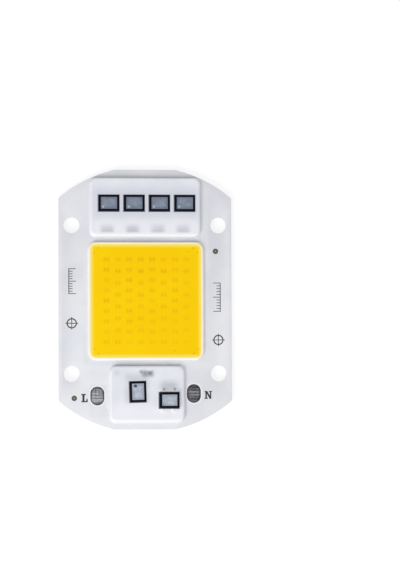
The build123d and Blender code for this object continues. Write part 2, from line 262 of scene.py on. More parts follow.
class Coat:
    """A material's colour while tints are laid over it; places and sizes are in millimetres."""

    def __init__(self, tree, colour):
        self.tree = tree
        self.colour = colour
        self.x, self.y, self.z = tree.axes()

    def lay(self, amount, tint):
        """Lays a tint over the colour, in full where the amount is 1."""
        self.colour = self.tree.mix(amount, self.colour, tint)

    def box(self, origin, shift, size, soft, amount, tint, turn=0.0):
        """Tints a soft-edged rectangle, whose centre is shifted from an origin."""
        centre = (origin[0] + shift[0], origin[1] + shift[1])
        self.lay(self.tree.box_mask(self.x, self.y, centre, size, soft, turn) * amount, tint)

    def spot(self, origin, shift, radius, soft, amount, tint):
        """Tints a soft-edged circle, whose centre is shifted from an origin."""
        centre = (origin[0] + shift[0], origin[1] + shift[1])
        self.lay(self.tree.spot(self.x, self.y, centre, radius, soft) * amount, tint)


# Mesh making

class Shell:
    """Grids of points gathered into one closed mesh; points that coincide are welded."""

    def __init__(self):
        self.points = []
        self.faces = []
        self.count = 0

    def grid(self, points, closed=False):
        """Adds a grid of points, rows by columns by 3; closed joins the last column to the first."""
        rows, columns = points.shape[:2]
        index = np.arange(rows * columns).reshape(rows, columns) + self.count
        if closed:
            index = np.concatenate([index, index[:, :1]], axis=1)
        quads = np.stack([index[:-1, :-1], index[:-1, 1:], index[1:, 1:], index[1:, :-1]], axis=-1)
        self.faces.extend(quads.reshape(-1, 4).tolist())
        self.points.append(points.reshape(-1, 3))
        self.count += rows * columns

    def lid(self, ring):
        """Adds one flat face bounded by a ring of points."""
        self.faces.append(list(range(self.count, self.count + len(ring))))
        self.points.append(ring)
        self.count += len(ring)

    def slab(self, path, normals, profile):
        """Adds a closed form: a profile carried round a path, with a lid at each end."""
        wall = carried(path, normals, profile)
        self.grid(wall, closed=True)
        self.lid(wall[0])
        self.lid(wall[-1])

    def piece(self, name, material, nodes=(), sharp=40.0, levels=()):
        """Makes the object; the open rings at the given levels are filled flat, holes left open."""
        mesh = bpy.data.meshes.new(name)
        mesh.from_pydata(np.concatenate(self.points).tolist(), [], self.faces)
        work = bmesh.new()
        work.from_mesh(mesh)
        bmesh.ops.remove_doubles(work, verts=work.verts, dist=WELD)
        for level in levels:
            rings = [
                edge for edge in work.edges
                if edge.is_boundary and all(abs(vert.co.z - level) < WELD for vert in edge.verts)
            ]
            bmesh.ops.triangle_fill(work, use_beauty=True, use_dissolve=False, edges=rings)
        bmesh.ops.recalc_face_normals(work, faces=work.faces)
        work.to_mesh(mesh)
        work.free()
        up = np.empty(len(mesh.polygons) * 3)
        mesh.polygons.foreach_get("normal", up)
        smooth = np.abs(up.reshape(-1, 3)[:, 2]) < FLAT
        mesh.polygons.foreach_set("use_smooth", smooth)
        mesh.set_sharp_from_angle(angle=radians(sharp))
        made = bpy.data.objects.new(name, mesh)
        bpy.context.scene.collection.objects.link(made)
        mesh.materials.append(material)
        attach(made, "root")
        if nodes:
            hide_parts(*nodes)


def lifted(flat, heights):
    """A flat grid given one height, or one height for each of its rows."""
    heights = np.broadcast_to(np.reshape(heights, (-1, 1, 1)), flat.shape[:2] + (1,))
    return np.concatenate([flat, heights], axis=2)


def rounded_rectangle(width, length, radius, steps, arc):
    """Points and outward normals round a rounded rectangle, anticlockwise.

    It starts at the middle of the lower left corner. Each side is a half corner, a straight run
    and a half corner, where a corner's point = its centre + radius * (cos a, sin a).
    """
    points = []
    normals = []
    for quarter in range(4):
        along, across = (width, length) if quarter % 2 == 0 else (length, width)
        run = along / 2 - radius
        straight = np.linspace(-run, run, steps[quarter % 2] + 1)
        first = np.radians(np.linspace(-135, -90, arc, endpoint=False))
        last = np.radians(np.linspace(-90, -45, arc, endpoint=False)[1:])
        angle = np.concatenate([first, np.full(len(straight), -pi / 2), last])
        middle = np.concatenate([np.full(arc, -run), straight, np.full(arc - 1, run)])
        normal = np.stack([np.cos(angle), np.sin(angle)], axis=1)
        point = normal * radius + np.stack([middle, np.full(len(angle), radius - across / 2)], axis=1)
        c, s = cos(quarter * pi / 2), sin(quarter * pi / 2)
        turn = np.array([[c, s], [-s, c]])
        points.append(point @ turn)
        normals.append(normal @ turn)
    return np.concatenate(points), np.concatenate(normals)


def carried(path, normals, profile):
    """A profile carried round a path: point = path + normal * offset, at the profile's height."""
    profile = np.asarray(profile)
    return lifted(path[None] + normals[None] * profile[:, 0, None, None], profile[:, 1])


def filled(ring, steps, arc):
    """A grid that fills a rounded rectangle's ring, by blending its four sides.

    point = blend of lower and upper side + blend of left and right side - blend of the corners.
    """
    across = steps[0] + 2 * arc
    along = steps[1] + 2 * arc
    turns = np.cumsum([0, across, along, across, along])
    loop = np.concatenate([ring, ring[:1]])
    low, right, high, left = [loop[turns[k]:turns[k + 1] + 1] for k in range(4)]
    high = high[::-1]
    left = left[::-1]
    u = ((low[:, 0] - low[0, 0]) / (low[-1, 0] - low[0, 0]))[None, :, None]
    v = ((left[:, 1] - left[0, 1]) / (left[-1, 1] - left[0, 1]))[:, None, None]
    ruled = (1 - v) * low[None] + v * high[None] + (1 - u) * left[:, None] + u * right[:, None]
    corners = (1 - v) * ((1 - u) * low[0] + u * low[-1]) + v * ((1 - u) * high[0] + u * high[-1])
    return ruled - corners


def softened(profile, radius, steps=4):
    """A profile whose inner corners are rounded: each is a parabola between points on its sides."""
    profile = np.asarray(profile, float)
    t = np.linspace(0, 1, steps + 1)[:, None]
    rounded = [profile[:1]]
    for before, corner, after in zip(profile[:-2], profile[1:-1], profile[2:]):
        reach_in = min(radius, np.linalg.norm(corner - before) / 2)
        reach_out = min(radius, np.linalg.norm(after - corner) / 2)
        start = corner + (before - corner) / np.linalg.norm(before - corner) * reach_in
        end = corner + (after - corner) / np.linalg.norm(after - corner) * reach_out
        rounded.append((1 - t) ** 2 * start + 2 * t * (1 - t) * corner + t ** 2 * end)
    rounded.append(profile[-1:])
    return np.concatenate(rounded)


def turned(points, centre, angle=0.0):
    """Points turned about the vertical through the origin and moved to a centre.

    x = x cos a - y sin a + centre x, and y = x sin a + y cos a + centre y.
    """
    c, s = cos(angle), sin(angle)
    moved = points.copy()
    moved[..., 0] = points[..., 0] * c - points[..., 1] * s + centre[0]
    moved[..., 1] = points[..., 0] * s + points[..., 1] * c + centre[1]
    return moved


def ripples(x, y, length, seed, waves=6):
    """A gentle unevenness between about -1 and 1: a sum of plane waves of about one length."""
    random = np.random.default_rng(seed)
    total = np.zeros_like(x)
    for _ in range(waves):
        heading = random.uniform(0, 2 * pi)
        number = 2 * pi / (length * random.uniform(0.7, 1.6))
        total += np.sin(number * (x * cos(heading) + y * sin(heading)) + random.uniform(0, 2 * pi))
    return total / sqrt(waves)


# Sizes and colours that a user would change

class BoardSettings(PropertyGroup):
    """The punched board and its coatings."""

    edge_break: FloatProperty(
        name="Edge break", description="Rounding of the punched edges",
        default=0.05 * MM, unit="LENGTH",
    )
    copper_step: FloatProperty(
        name="Copper step", description="How far the mask stands up over the copper",
        default=0.03 * MM, unit="LENGTH",
    )
    step_softness: FloatProperty(
        name="Step softness", description="Width of the slope beside the copper",
        default=0.16 * MM, unit="LENGTH",
    )
    mask_colour: FloatVectorProperty(
        name="Mask colour", description="White solder mask",
        default=(0.76, 0.77, 0.805), subtype="COLOR",
    )
    ink_height: FloatProperty(
        name="Ink height", description="Thickness of the printed marks",
        default=0.012 * MM, unit="LENGTH",
    )
    ink_colour: FloatVectorProperty(
        name="Ink colour", description="Printed letters, scales and targets",
        default=(0.020, 0.017, 0.014), subtype="COLOR",
    )
    ring_colour: FloatVectorProperty(
        name="Ring colour", description="The two ring dots",
        default=(0.070, 0.058, 0.042), subtype="COLOR",
    )


class SiliconeSettings(PropertyGroup):
    """The dam and the two poured blocks."""

    colour: FloatVectorProperty(
        name="Silicone colour", description="White silicone",
        default=(0.80, 0.81, 0.86), subtype="COLOR",
    )
    # The dam's white silicone, with painted light: lighter and warmer than the blocks for the light on it
    # and the gel's yellow light
    dam_colour_and_gel_light: FloatVectorProperty(
        name="Dam colour", description="White silicone of the dam, warmed by the gel beside it",
        default=(0.93, 0.87, 0.80), subtype="COLOR",
    )
    shoulder: FloatProperty(
        name="Shoulder", description="Rounding of a block's upper edge",
        default=0.70 * MM, unit="LENGTH",
    )
    wetting: FloatProperty(
        name="Wetting height", description="How far the silicone climbs up a package",
        default=0.07 * MM, unit="LENGTH",
    )
    wetting_reach: FloatProperty(
        name="Wetting reach", description="How fast that climb dies away from the package",
        default=0.28 * MM, unit="LENGTH",
    )
    waviness: FloatProperty(
        name="Waviness", description="Unevenness of the poured surface",
        default=0.012 * MM, unit="LENGTH",
    )
    dam_drop: FloatProperty(
        name="Dam drop", description="Height of the rounded part of the dam's outer side",
        default=0.50 * MM, unit="LENGTH",
    )
    dam_dip: FloatProperty(
        name="Dam dip", description="Fall of the dam from its crest to the gel",
        default=0.035 * MM, unit="LENGTH",
    )


class GelSettings(PropertyGroup):
    """The phosphor gel over the dies."""

    colour: FloatVectorProperty(
        name="Gel colour", description="Phosphor in silicone",
        default=(0.985, 0.655, 0.0015), subtype="COLOR",
    )
    rim_colour: FloatVectorProperty(
        name="Rim colour", description="The thin gel along the dam",
        default=(1.0, 0.79, 0.13), subtype="COLOR",
    )
    die_colour: FloatVectorProperty(
        name="Die colour", description="The gel where a die shows through",
        default=(0.86, 0.42, 0.004), subtype="COLOR",
    )
    rim_rise: FloatProperty(
        name="Rim rise", description="How far the gel climbs up the dam",
        default=0.05 * MM, unit="LENGTH",
    )
    rim_reach: FloatProperty(
        name="Rim reach", description="How fast that climb dies away from the dam",
        default=0.6 * MM, unit="LENGTH",
    )
    die_rise: FloatProperty(
        name="Die rise", description="Rise of the gel over each die",
        default=0.012 * MM, unit="LENGTH",
    )


class PackageSettings(PropertyGroup):
    """The moulded chip packages."""

    # Painted reflection: the blue-grey of the driver tops stands for light reflected in their black epoxy
    driver_top_sheen: FloatVectorProperty(
        name="Driver top colour", description="Top of the driver packages",
        default=(0.237, 0.275, 0.358), subtype="COLOR",
    )
    # Painted reflection: the paler blue-grey of these tops stands for light reflected in their epoxy
    input_top_sheen: FloatVectorProperty(
        name="Input top colour", description="Top of the control package and the rectifier",
        default=(0.485, 0.530, 0.630), subtype="COLOR",
    )
    # The epoxy's own near black, made darker still as a painted dark reflection in the bevel
    bevel_colour: FloatVectorProperty(
        name="Bevel colour", description="Bevel and sides of a package",
        default=(0.002, 0.003, 0.009), subtype="COLOR",
    )
    bevel: FloatProperty(
        name="Bevel", description="Width of the bevel round the top",
        default=0.53 * MM, unit="LENGTH",
    )
    edge_round: FloatProperty(
        name="Edge rounding", description="Rounding of each moulded edge",
        default=0.05 * MM, unit="LENGTH",
    )
    dimple_depth: FloatProperty(
        name="Dimple depth", description="Depth of the mark at the first lead",
        default=0.05 * MM, unit="LENGTH",
    )


class StudioSettings(PropertyGroup):
    """Camera, lamps and floor."""

    camera_distance: FloatProperty(
        name="Camera distance", description="From the board's centre to the lens",
        default=0.55, unit="LENGTH",
    )
    camera_lean: FloatVectorProperty(
        name="Camera lean", description="Angles of the lens off the vertical, along X and along Y",
        size=2, default=(radians(-4.0), radians(-2.0)), unit="ROTATION",
    )
    camera_aim: FloatVectorProperty(
        name="Camera aim", description="The point on the board's face at the picture's centre",
        size=2, default=(12.67 * MM, 3.32 * MM), unit="LENGTH",
    )
    camera_roll: FloatProperty(
        name="Camera roll", description="Turn of the camera about its line of sight",
        default=radians(-0.226), unit="ROTATION",
    )
    camera_lens: FloatProperty(
        name="Focal length", description="Focal length on a 36 mm sensor, in millimetres",
        default=150.0,
    )
    world_level: FloatProperty(
        name="World level", description="Strength of the even light from all round",
        default=0.68,
    )
    key_power: FloatProperty(
        name="Key power", description="Power of the soft lamp at the lower left",
        default=1.85,
    )
    floor_colour: FloatVectorProperty(
        name="Floor colour", description="Colour of the floor under the board",
        default=(0.30, 0.30, 0.30), subtype="COLOR",
    )
    floor_lift: FloatProperty(
        name="Floor lift", description="Light that the floor adds where the camera sees it",
        default=0.75,
    )


# Board

MOUNT = next(mount for mount in frame["record"]["mounts"] if mount["name"] == "screw_holes")
HOLE_RADIUS = MOUNT["dims"]["hole_r_mm"] * MM
HOLE_X = MOUNT["dims"]["spacing_x_mm"] * MM / 2
HOLE_Y = MOUNT["dims"]["spacing_y_mm"] * MM / 2
ARC_POINTS = 48
CIRCLE_POINTS = 96
PLATEAU_CORNER = 0.9 * MM
# Painted highlight on the mask round the edge of each wire pad
PAD_HALO_HIGHLIGHT = (0.93, 0.94, 0.96)
DOT_TAN = (0.30, 0.26, 0.17)


def board_outline():
    """Points and mitred normals round the board: a rectangle whose corners one circle cuts.

    The circle's radius is the distance to the end of the straight top edge.
    """
    points = np.array([vert.co[:] for vert in frame["nodes"]["aluminium_base"].data.vertices])
    top_end = points[points[:, 1] > BOARD_HIGH.y - WELD, 0].max()
    radius = hypot(top_end, BOARD_HIGH.y)
    side_end = sqrt(radius ** 2 - BOARD_HIGH.x ** 2)
    angle = np.linspace(np.arctan2(side_end, BOARD_HIGH.x), np.arctan2(BOARD_HIGH.y, top_end), ARC_POINTS)
    normal = np.stack([np.cos(angle), np.sin(angle)], axis=1)
    arc = normal * radius
    for end, side in ((0, np.array([1.0, 0.0])), (-1, np.array([0.0, 1.0]))):
        normal[end] = (normal[end] + side) / (1 + normal[end] @ side)
    quarters = [(1, 1, 1), (-1, 1, -1), (-1, -1, 1), (1, -1, -1)]
    path = np.concatenate([(arc * (x, y))[::order] for x, y, order in quarters])
    out = np.concatenate([(normal * (x, y))[::order] for x, y, order in quarters])
    return path, out


def circle_path(centre, radius, inward=False, count=CIRCLE_POINTS):
    """Points round a circle and their normals, which point to the centre when inward."""
    angle = np.linspace(0, 2 * pi, count, endpoint=False)
    normal = np.stack([np.cos(angle), np.sin(angle)], axis=1)
    return np.asarray(centre) + normal * radius, -normal if inward else normal


def plate(name, profile, material, nodes):
    """A sheet with the board's outline and screw holes, whose edges follow a profile."""
    shell = Shell()
    shell.grid(carried(*board_outline(), profile), closed=True)
    for x in (-HOLE_X, HOLE_X):
        for y in (-HOLE_Y, HOLE_Y):
            shell.grid(carried(*circle_path((x, y), HOLE_RADIUS, inward=True), profile), closed=True)
    levels = (profile[0][1], profile[-1][1])
    shell.piece(name, material, nodes, levels=levels)


def aluminium_material():
    """Rolled aluminium: fine grain lines along the sheet, and shear marks down its edge."""
    tree = Tree("rolled_aluminium", Metallic=1.0)
    grain = tree.noise(9.0, detail=4.0, vector=tree.place(scale=(0.05, 1.0, 1.0)))
    shear = tree.noise(7.0, vector=tree.place(scale=(1.0, 1.0, 0.12)))
    tone = grain * 0.5 + tree.noise(0.12, detail=2.0, roughness=0.5) * 0.5
    colour = tree.mix(tone, (0.66, 0.67, 0.68), (0.80, 0.81, 0.82))
    relief = grain * 0.5 + shear * 0.5
    return tree.finish(colour, grain * 0.22 + 0.28, relief, depth=0.02 * MM, strength=0.5)


def dielectric_material():
    """Filled epoxy under the copper: off-white with darker filler specks."""
    tree = Tree("dielectric_epoxy")
    specks = tree.noise(6.0, roughness=0.7)
    colour = tree.mix(specks, (0.60, 0.60, 0.56), (0.76, 0.76, 0.72))
    return tree.finish(colour, 0.6, specks, depth=0.01 * MM, strength=0.5)


def beyond_pad(x, y, rect):
    """Distance outwards from a pad's edge in millimetres; the pad's ends are half circles.

    It is the distance to the straight part of the pad's middle line, less half the pad's width.
    """
    dx = x - rect[0]
    dy = (abs(y - rect[1]) - (rect[3] - rect[2]) / 2).most(0.0)
    return (dx * dx + dy * dy).root() - rect[2] / 2


def mask_material(settings):
    """White solder mask, slightly cloudy with an orange-peel surface; a painted highlight rings each pad.

    It is tan inside the two ring dots.
    """
    tree = Tree("white_solder_mask")
    cloud = tree.noise(0.16, roughness=0.55)
    peel = tree.noise(2.2)
    fine = tree.noise(14.0, detail=2.0, roughness=0.5)
    cool = tinted(settings.mask_colour, (0.955, 0.965, 0.99))
    warm = tinted(settings.mask_colour, (1.045, 1.035, 1.03))
    coat = Coat(tree, tree.mottled(cloud, cool, warm))
    for node, _ in PADS.values():
        # Painted highlight along the pad's edge
        lip = tree.ramp(beyond_pad(coat.x, coat.y, in_mm(node_rect(node))), 0.50, 0.15)
        coat.lay(lip * 0.7, PAD_HALO_HIGHLIGHT)
    for centre in RING_DOTS:
        coat.spot(in_mm(centre), (0.0, 0.0), radius=0.22, soft=0.04, amount=0.9, tint=DOT_TAN)
    relief = peel * 0.8 + fine * 0.2
    return tree.finish(coat.colour, peel * 0.16 + 0.36, relief, depth=0.012 * MM, strength=0.4)


def make_base_board(settings):
    """The aluminium plate and its insulating layer."""
    edge = settings.edge_break
    profile = [(-edge, 0.0), (-edge * 0.3, edge * 0.3), (0.0, edge), (0.0, BASE_TOP)]
    plate("base_plate", profile, aluminium_material(), ("aluminium_base",))
    profile = [(0.0, BASE_TOP), (0.0, DIELECTRIC_TOP)]
    plate("insulating_sheet", profile, dielectric_material(), ("dielectric_layer",))


def face_loops(node, height):
    """Loops round a node's level faces at one height, with the material on the left of each."""
    mesh = frame["nodes"][node].data
    points = np.array([vert.co[:] for vert in mesh.vertices])
    faces = np.array([face.vertices[:] for face in mesh.polygons])
    level = np.all(abs(points[faces][..., 2] - height) < NEAR, axis=1)
    spots, same = np.unique(np.round(points[:, :2] / NEAR), axis=0, return_inverse=True)
    faces = same.reshape(-1)[faces[level]]
    edges = np.concatenate([faces[:, [0, 1]], faces[:, [1, 2]], faces[:, [2, 0]]]).tolist()
    pairs = set(map(tuple, edges))
    following = {first: second for first, second in pairs if (second, first) not in pairs}
    loops = []
    while following:
        start, place = following.popitem()
        loop = [start]
        while place != start:
            loop.append(place)
            place = following.pop(place)
        loops.append(without_straight_points(spots[loop] * NEAR))
    return loops


def without_straight_points(corners):
    """The corners of a loop, leaving out each point that is in line with its neighbours.

    A point is in line where the sine of its turn is at most 0.01.
    """
    before = corners - np.roll(corners, 1, axis=0)
    after = np.roll(corners, -1, axis=0) - corners
    turn = before[:, 0] * after[:, 1] - before[:, 1] * after[:, 0]
    reach = np.hypot(*before.T) * np.hypot(*after.T)
    return corners[abs(turn) > reach * 0.01]


def rounded_loop(corners, radius, steps=5):
    """Points and outward normals round a loop whose corners are rounded.

    Each corner is a parabola between points on its two sides, at a distance of the radius or of
    half the side: (1 - t)^2 * start + 2 t (1 - t) * corner + t^2 * end.
    """
    corners = np.asarray(corners, float)
    ends = []
    for neighbour in (np.roll(corners, 1, axis=0), np.roll(corners, -1, axis=0)):
        side = neighbour - corners
        length = np.hypot(*side.T)[:, None]
        ends.append(side / length * np.minimum(radius, length * 0.49))
    t = np.linspace(0, 1, steps + 1)[None, :, None]
    start, end = ends[0][:, None], ends[1][:, None]
    points = corners[:, None] + (1 - t) ** 2 * start + t ** 2 * end
    along = t * end - (1 - t) * start
    along /= np.linalg.norm(along, axis=2, keepdims=True)
    normals = np.stack([along[..., 1], -along[..., 0]], axis=2)
    return points.reshape(-1, 2), normals.reshape(-1, 2)


def make_mask(settings):
    """The mask, level over bare board, with low plateaus where it runs over copper.

    A plateau's slope has the height = step * t ** 2 * (3 - 2 * t).
    """
    step = settings.copper_step
    low_top = MASK_TOP - step
    profile = [(0.0, DIELECTRIC_TOP), (0.0, low_top - step), (-step * 0.3, low_top - step * 0.3)]
    profile.append((-step, low_top))
    material = mask_material(settings)
    plate("mask_sheet", profile, material, ("solder_mask",))
    slope = settings.step_softness
    t = np.linspace(0, 1, 6)
    side = np.stack([slope * (1 - t), low_top + step * t ** 2 * (3 - 2 * t)], axis=1)
    profile = np.concatenate([[(slope, low_top - step)], side])
    shell = Shell()
    for corners in face_loops("copper_circuit", COPPER_TOP):
        x, y = corners.T
        area = (x * np.roll(y, -1) - y * np.roll(x, -1)).sum() / 2
        if area > 0:
            shell.slab(*rounded_loop(corners, PLATEAU_CORNER), profile)
    shell.piece("mask_over_copper", material, sharp=60.0)


# Printing

LETTER_L = [
    (0.0, 0.0), (1.0, 0.0), (1.0, 0.54), (0.82, 0.54), (0.77, 0.21), (0.50, 0.21), (0.50, 1.15),
    (0.70, 1.15), (0.70, 1.36), (0.0, 1.36), (0.0, 1.15), (0.16, 1.15), (0.16, 0.21), (0.0, 0.21),
]
LETTER_N = [
    (0.0, 0.0), (0.55, 0.0), (0.55, 0.18), (0.39, 0.18), (0.39, 0.88), (0.86, 0.0), (1.12, 0.0),
    (1.12, 1.18), (1.26, 1.18), (1.26, 1.36), (0.73, 1.36), (0.73, 1.18), (0.90, 1.18),
    (0.90, 0.55), (0.46, 1.36), (0.0, 1.36), (0.0, 1.18), (0.14, 1.18), (0.14, 0.18), (0.0, 0.18),
]
LETTERS = (
    (LETTER_L, (-14.1 * MM, -22.7 * MM), (1.45 * MM, 1.9 * MM)),
    (LETTER_N, (14.5 * MM, -22.1 * MM), (1.75 * MM, 1.8 * MM)),
)
RING_DOTS = ((-16.45 * MM, -22.75 * MM), (16.3 * MM, 11.13 * MM))
SCALES = (((-16.9 * MM, 4.2 * MM), 5.9 * MM, 1), ((16.6 * MM, 0.5 * MM), 6.7 * MM, -1))
SCALE_TEETH = 11
SCALE_WIDTH = 1.7 * MM
SHORT_TOOTH = 0.95 * MM
SPINE = 0.17 * MM
TOOTH_HALF = 0.075 * MM
TARGETS = ((-17.0 * MM, -5.5 * MM), (16.9 * MM, -9.4 * MM))

# The radius of a ring's middle line, and half its width
DOT_RING = (0.41 * MM, 0.22 * MM)
TARGET_RING = (1.05 * MM, 0.13 * MM)

# Each bar's width, length and extra height, unlike so that no two tops lie in one plane
TARGET_BARS = ((2.9 * MM, 0.16 * MM, 0.002 * MM), (0.16 * MM, 2.9 * MM, 0.001 * MM))
LETTER_CORNER = 0.03 * MM
LINE_CORNER = 0.02 * MM
INK_SHARP = 30.0


def ink_material(name, colour):
    """Screen ink: dark brown, a little uneven, dull."""
    tree = Tree(name)
    speck = tree.noise(7.0)
    uneven = tree.mottled(speck, colour, tinted(colour, 1.9), low=0.35)
    return tree.finish(uneven, speck * 0.2 + 0.5, speck, depth=0.006 * MM, strength=0.4)


def ring_profile(half, low, high):
    """The closed section of a printed ring, from its middle line."""
    return [(-half, low), (half, low), (half, high), (-half, high), (-half, low)]


def comb(length, side):
    """Corners round a scale: a spine with evenly spaced teeth on one side, every fifth one long."""
    place = np.linspace(-length / 2 + 0.08 * MM, length / 2 - 0.08 * MM, SCALE_TEETH)
    reach = np.where(np.arange(SCALE_TEETH) % 5 == 0, SCALE_WIDTH, SHORT_TOOTH)
    root = np.full(SCALE_TEETH, SPINE)
    low, high = place - TOOTH_HALF, place + TOOTH_HALF
    xs = np.stack([root, reach, reach, root], axis=1).reshape(-1)
    ys = np.stack([low, low, high, high], axis=1).reshape(-1)
    corners = np.stack([xs, ys], axis=1)
    corners = np.concatenate([corners, [(0.0, ys[-1]), (0.0, ys[0])]])
    corners[:, 0] -= SCALE_WIDTH / 2
    return corners if side > 0 else -corners


def make_printing(settings):
    """The terminal letters, the ring dots, and plain scales and targets in the places for marks."""
    low = MASK_TOP - 2 * settings.copper_step
    top = MASK_TOP - settings.copper_step + settings.ink_height
    profile = [(0.0, low), (0.0, top)]
    ink = ink_material("printing_ink", settings.ink_colour)

    letters = Shell()
    for corners, centre, size in LETTERS:
        shape = np.array(corners)
        shape = (shape / shape.max(axis=0) - 0.5) * size + centre
        letters.slab(*rounded_loop(shape, LETTER_CORNER, 2), profile)
    letters.piece("terminal_letters", ink, sharp=INK_SHARP)

    dots = Shell()
    for centre in RING_DOTS:
        path = circle_path(centre, DOT_RING[0], count=64)
        dots.grid(carried(*path, ring_profile(DOT_RING[1], low, top)), closed=True)
    ring_ink = ink_material("ring_ink", settings.ring_colour)
    dots.piece("ring_dots", ring_ink, sharp=INK_SHARP)

    scales = Shell()
    for centre, length, side in SCALES:
        shape = comb(length, side) + centre
        scales.slab(*rounded_loop(shape, LINE_CORNER, 2), profile)
    scales.piece("printed_scales", ink, sharp=INK_SHARP)

    targets = Shell()
    for x, y in TARGETS:
        path = circle_path((x, y), TARGET_RING[0])
        targets.grid(carried(*path, ring_profile(TARGET_RING[1], low, top)), closed=True)
        for width, length, lift in TARGET_BARS:
            half = np.array([width, length]) / 2
            corners = np.array([(-1, -1), (1, -1), (1, 1), (-1, 1)]) * half + (x, y)
            targets.slab(*rounded_loop(corners, LINE_CORNER, 2), [(0.0, low), (0.0, top + lift)])
    targets.piece("printed_targets", ink, sharp=INK_SHARP)


# Silicone

# Tints of painted light and shade on the silicone's edges and faces, and of what shows through it
EDGE_HIGHLIGHT = (0.97, 0.97, 0.985)
HIGHLIGHT_WHITE = (0.95, 0.95, 0.96)
NEAR_SIDE_LIGHT = (0.91, 0.92, 0.965)
LOW_ROW_LIGHT = (0.89, 0.90, 0.955)
CHIP_ROW_SHADE = (0.62, 0.64, 0.73)
RESISTOR_GHOST = (0.50, 0.51, 0.58)
RESISTOR_EDGE = (0.38, 0.39, 0.46)
SHADE_AND_SHOW_THROUGH_GREY = (0.34, 0.35, 0.39)
CAPACITOR_GHOST = (0.22, 0.23, 0.30)
CAPACITOR_END = (0.24, 0.24, 0.28)
EDGE_SHADOW_GREY = (0.22, 0.22, 0.23)
DARK = (0.06, 0.06, 0.075)
CONTACT_SHADOW = (0.02, 0.02, 0.03)
GEL_LIGHT_ON_DAM = (1.0, 0.86, 0.42)

# Half the distance between the bridge rectifier's leads on one side
LEAD_SHIFT = 1.25 * MM


def silicone_material(name, base, shade):
    """White silicone: milky and faintly mottled, tinted where its neighbours show through it.

    The shading also lays painted light and shade over it.
    """
    tree = Tree(name)
    cloud = tree.noise(0.22, roughness=0.5)
    fine = tree.noise(3.0, roughness=0.55)
    coat = Coat(tree, tree.mottled(cloud, tinted(base, (0.96, 0.97, 0.99)), tinted(base, 1.03)))
    shade(coat)
    return tree.finish(coat.colour, fine * 0.14 + 0.30, fine, depth=0.010 * MM, strength=0.35)


def far_edge_shadow(coat, rect):
    """Adds a painted shadow, a grey line along the far edge of a poured piece."""
    far = rect[1] + rect[3] / 2
    coat.lay(coat.tree.ramp(coat.y, far - 0.38, far - 0.10) * 0.70, EDGE_SHADOW_GREY)


def near_edge_highlight(coat, rect, width):
    """Adds a painted highlight along the near and the left edge of a poured piece."""
    near = rect[1] - rect[3] / 2
    left = rect[0] - rect[2] / 2
    below = coat.tree.ramp(coat.y, near + width * 1.3, near + width * 0.6)
    beside = coat.tree.ramp(coat.x, left + width * 0.9, left + width * 0.2)
    coat.lay(below.most(beside * 0.6) * 0.9, EDGE_HIGHLIGHT)


def fillet_highlight(coat, rect):
    """Adds a painted highlight on the silicone's fillet at a package's near side."""
    shift = (0.0, -rect[3] / 2 - 0.22)
    coat.box(rect, shift, (rect[2] - 0.1, 0.2), soft=0.18, amount=0.75, tint=EDGE_HIGHLIGHT)


def contact_shadow(coat, rect, shift, turn=0.0):
    """Adds a painted contact shadow, the thin dark line where the silicone meets a package."""
    size = (rect[2] + 0.16, rect[3] + 0.16)
    coat.box(rect, (shift, shift), size, soft=0.07, amount=0.85, tint=CONTACT_SHADOW, turn=turn)


def distance_outside(x, y, rect, turn=0.0):
    """Distance from a rectangle's edge, and 0 inside it.

    It is the root of the sum of the squares of how far the point is past each half side.
    """
    dx, dy = x - rect[0], y - rect[1]
    across = dx * cos(turn) + dy * sin(turn)
    along = dy * cos(turn) - dx * sin(turn)
    return np.hypot(np.maximum(abs(across) - rect[2] / 2, 0), np.maximum(abs(along) - rect[3] / 2, 0))


def climb(settings, gap):
    """How far the silicone rises at a distance from a package: height * exp(-gap / reach)."""
    return settings.wetting * np.exp(-gap / settings.wetting_reach)


def mound(gap, height, reach):
    """The swelling over a buried piece: height * exp(-(gap / reach) ** 2)."""
    return height * np.exp(-(gap / reach) ** 2)


GRID_STEP = 0.16 * MM
CORNER_STEPS = 10
BLOCK_RADIUS = {"driver_potting": 1.8 * MM, "input_potting": 1.85 * MM}
BLOCK_LEAN = 0.08 * MM
SINK = 0.04 * MM
CONTROL_TURN = radians(1.5)
CONTROL_SIZE = (3.9 * MM, 4.9 * MM)


def share_of_height(height, top):
    """0 at the mask and 1 at a poured piece's top."""
    return np.clip((height - MASK_TOP) / (top - MASK_TOP), 0, 1)


def pillow(name, node, settings, relief, material):
    """A poured block: a rounded wall carried round its outline, and a top that carries a relief.

    The wall's profile leans in a little and ends in a quarter circle; the relief is added in
    proportion to the square of the share of the block's height.
    """
    x, y, width, length = node_rect(node)
    steps = (int(width / GRID_STEP), int(length / GRID_STEP))
    path, out = rounded_rectangle(width, length, BLOCK_RADIUS[node], steps, CORNER_STEPS)
    shoulder = settings.shoulder
    angle = np.linspace(0, pi / 2, 13)
    arc_in = -BLOCK_LEAN - (shoulder - BLOCK_LEAN) * (1 - np.cos(angle))
    arc_up = BLOCK_TOP - shoulder * (1 - np.sin(angle))
    foot = [(0.03 * MM, MASK_TOP - SINK), (0.0, MASK_TOP + SINK)]
    wall = carried(path, out, np.concatenate([foot, np.stack([arc_in, arc_up], axis=1)]))
    top = lifted(filled(wall[-1, :, :2], steps, CORNER_STEPS), BLOCK_TOP)
    shell = Shell()
    for grid, closed in ((wall, True), (top, False)):
        placed = turned(grid, (x, y))
        share = share_of_height(placed[..., 2], BLOCK_TOP)
        placed[..., 2] += relief(placed[..., 0], placed[..., 1]) * share ** 2
        shell.grid(placed, closed=closed)
    shell.lid(turned(wall[0], (x, y)))
    shell.piece(name, material, (node,))


def package_rect(node):
    """Centre and outline of a package, without the turn of the control chip."""
    rect = node_rect(node)
    return rect[:2] + CONTROL_SIZE if node == "control_ic" else rect


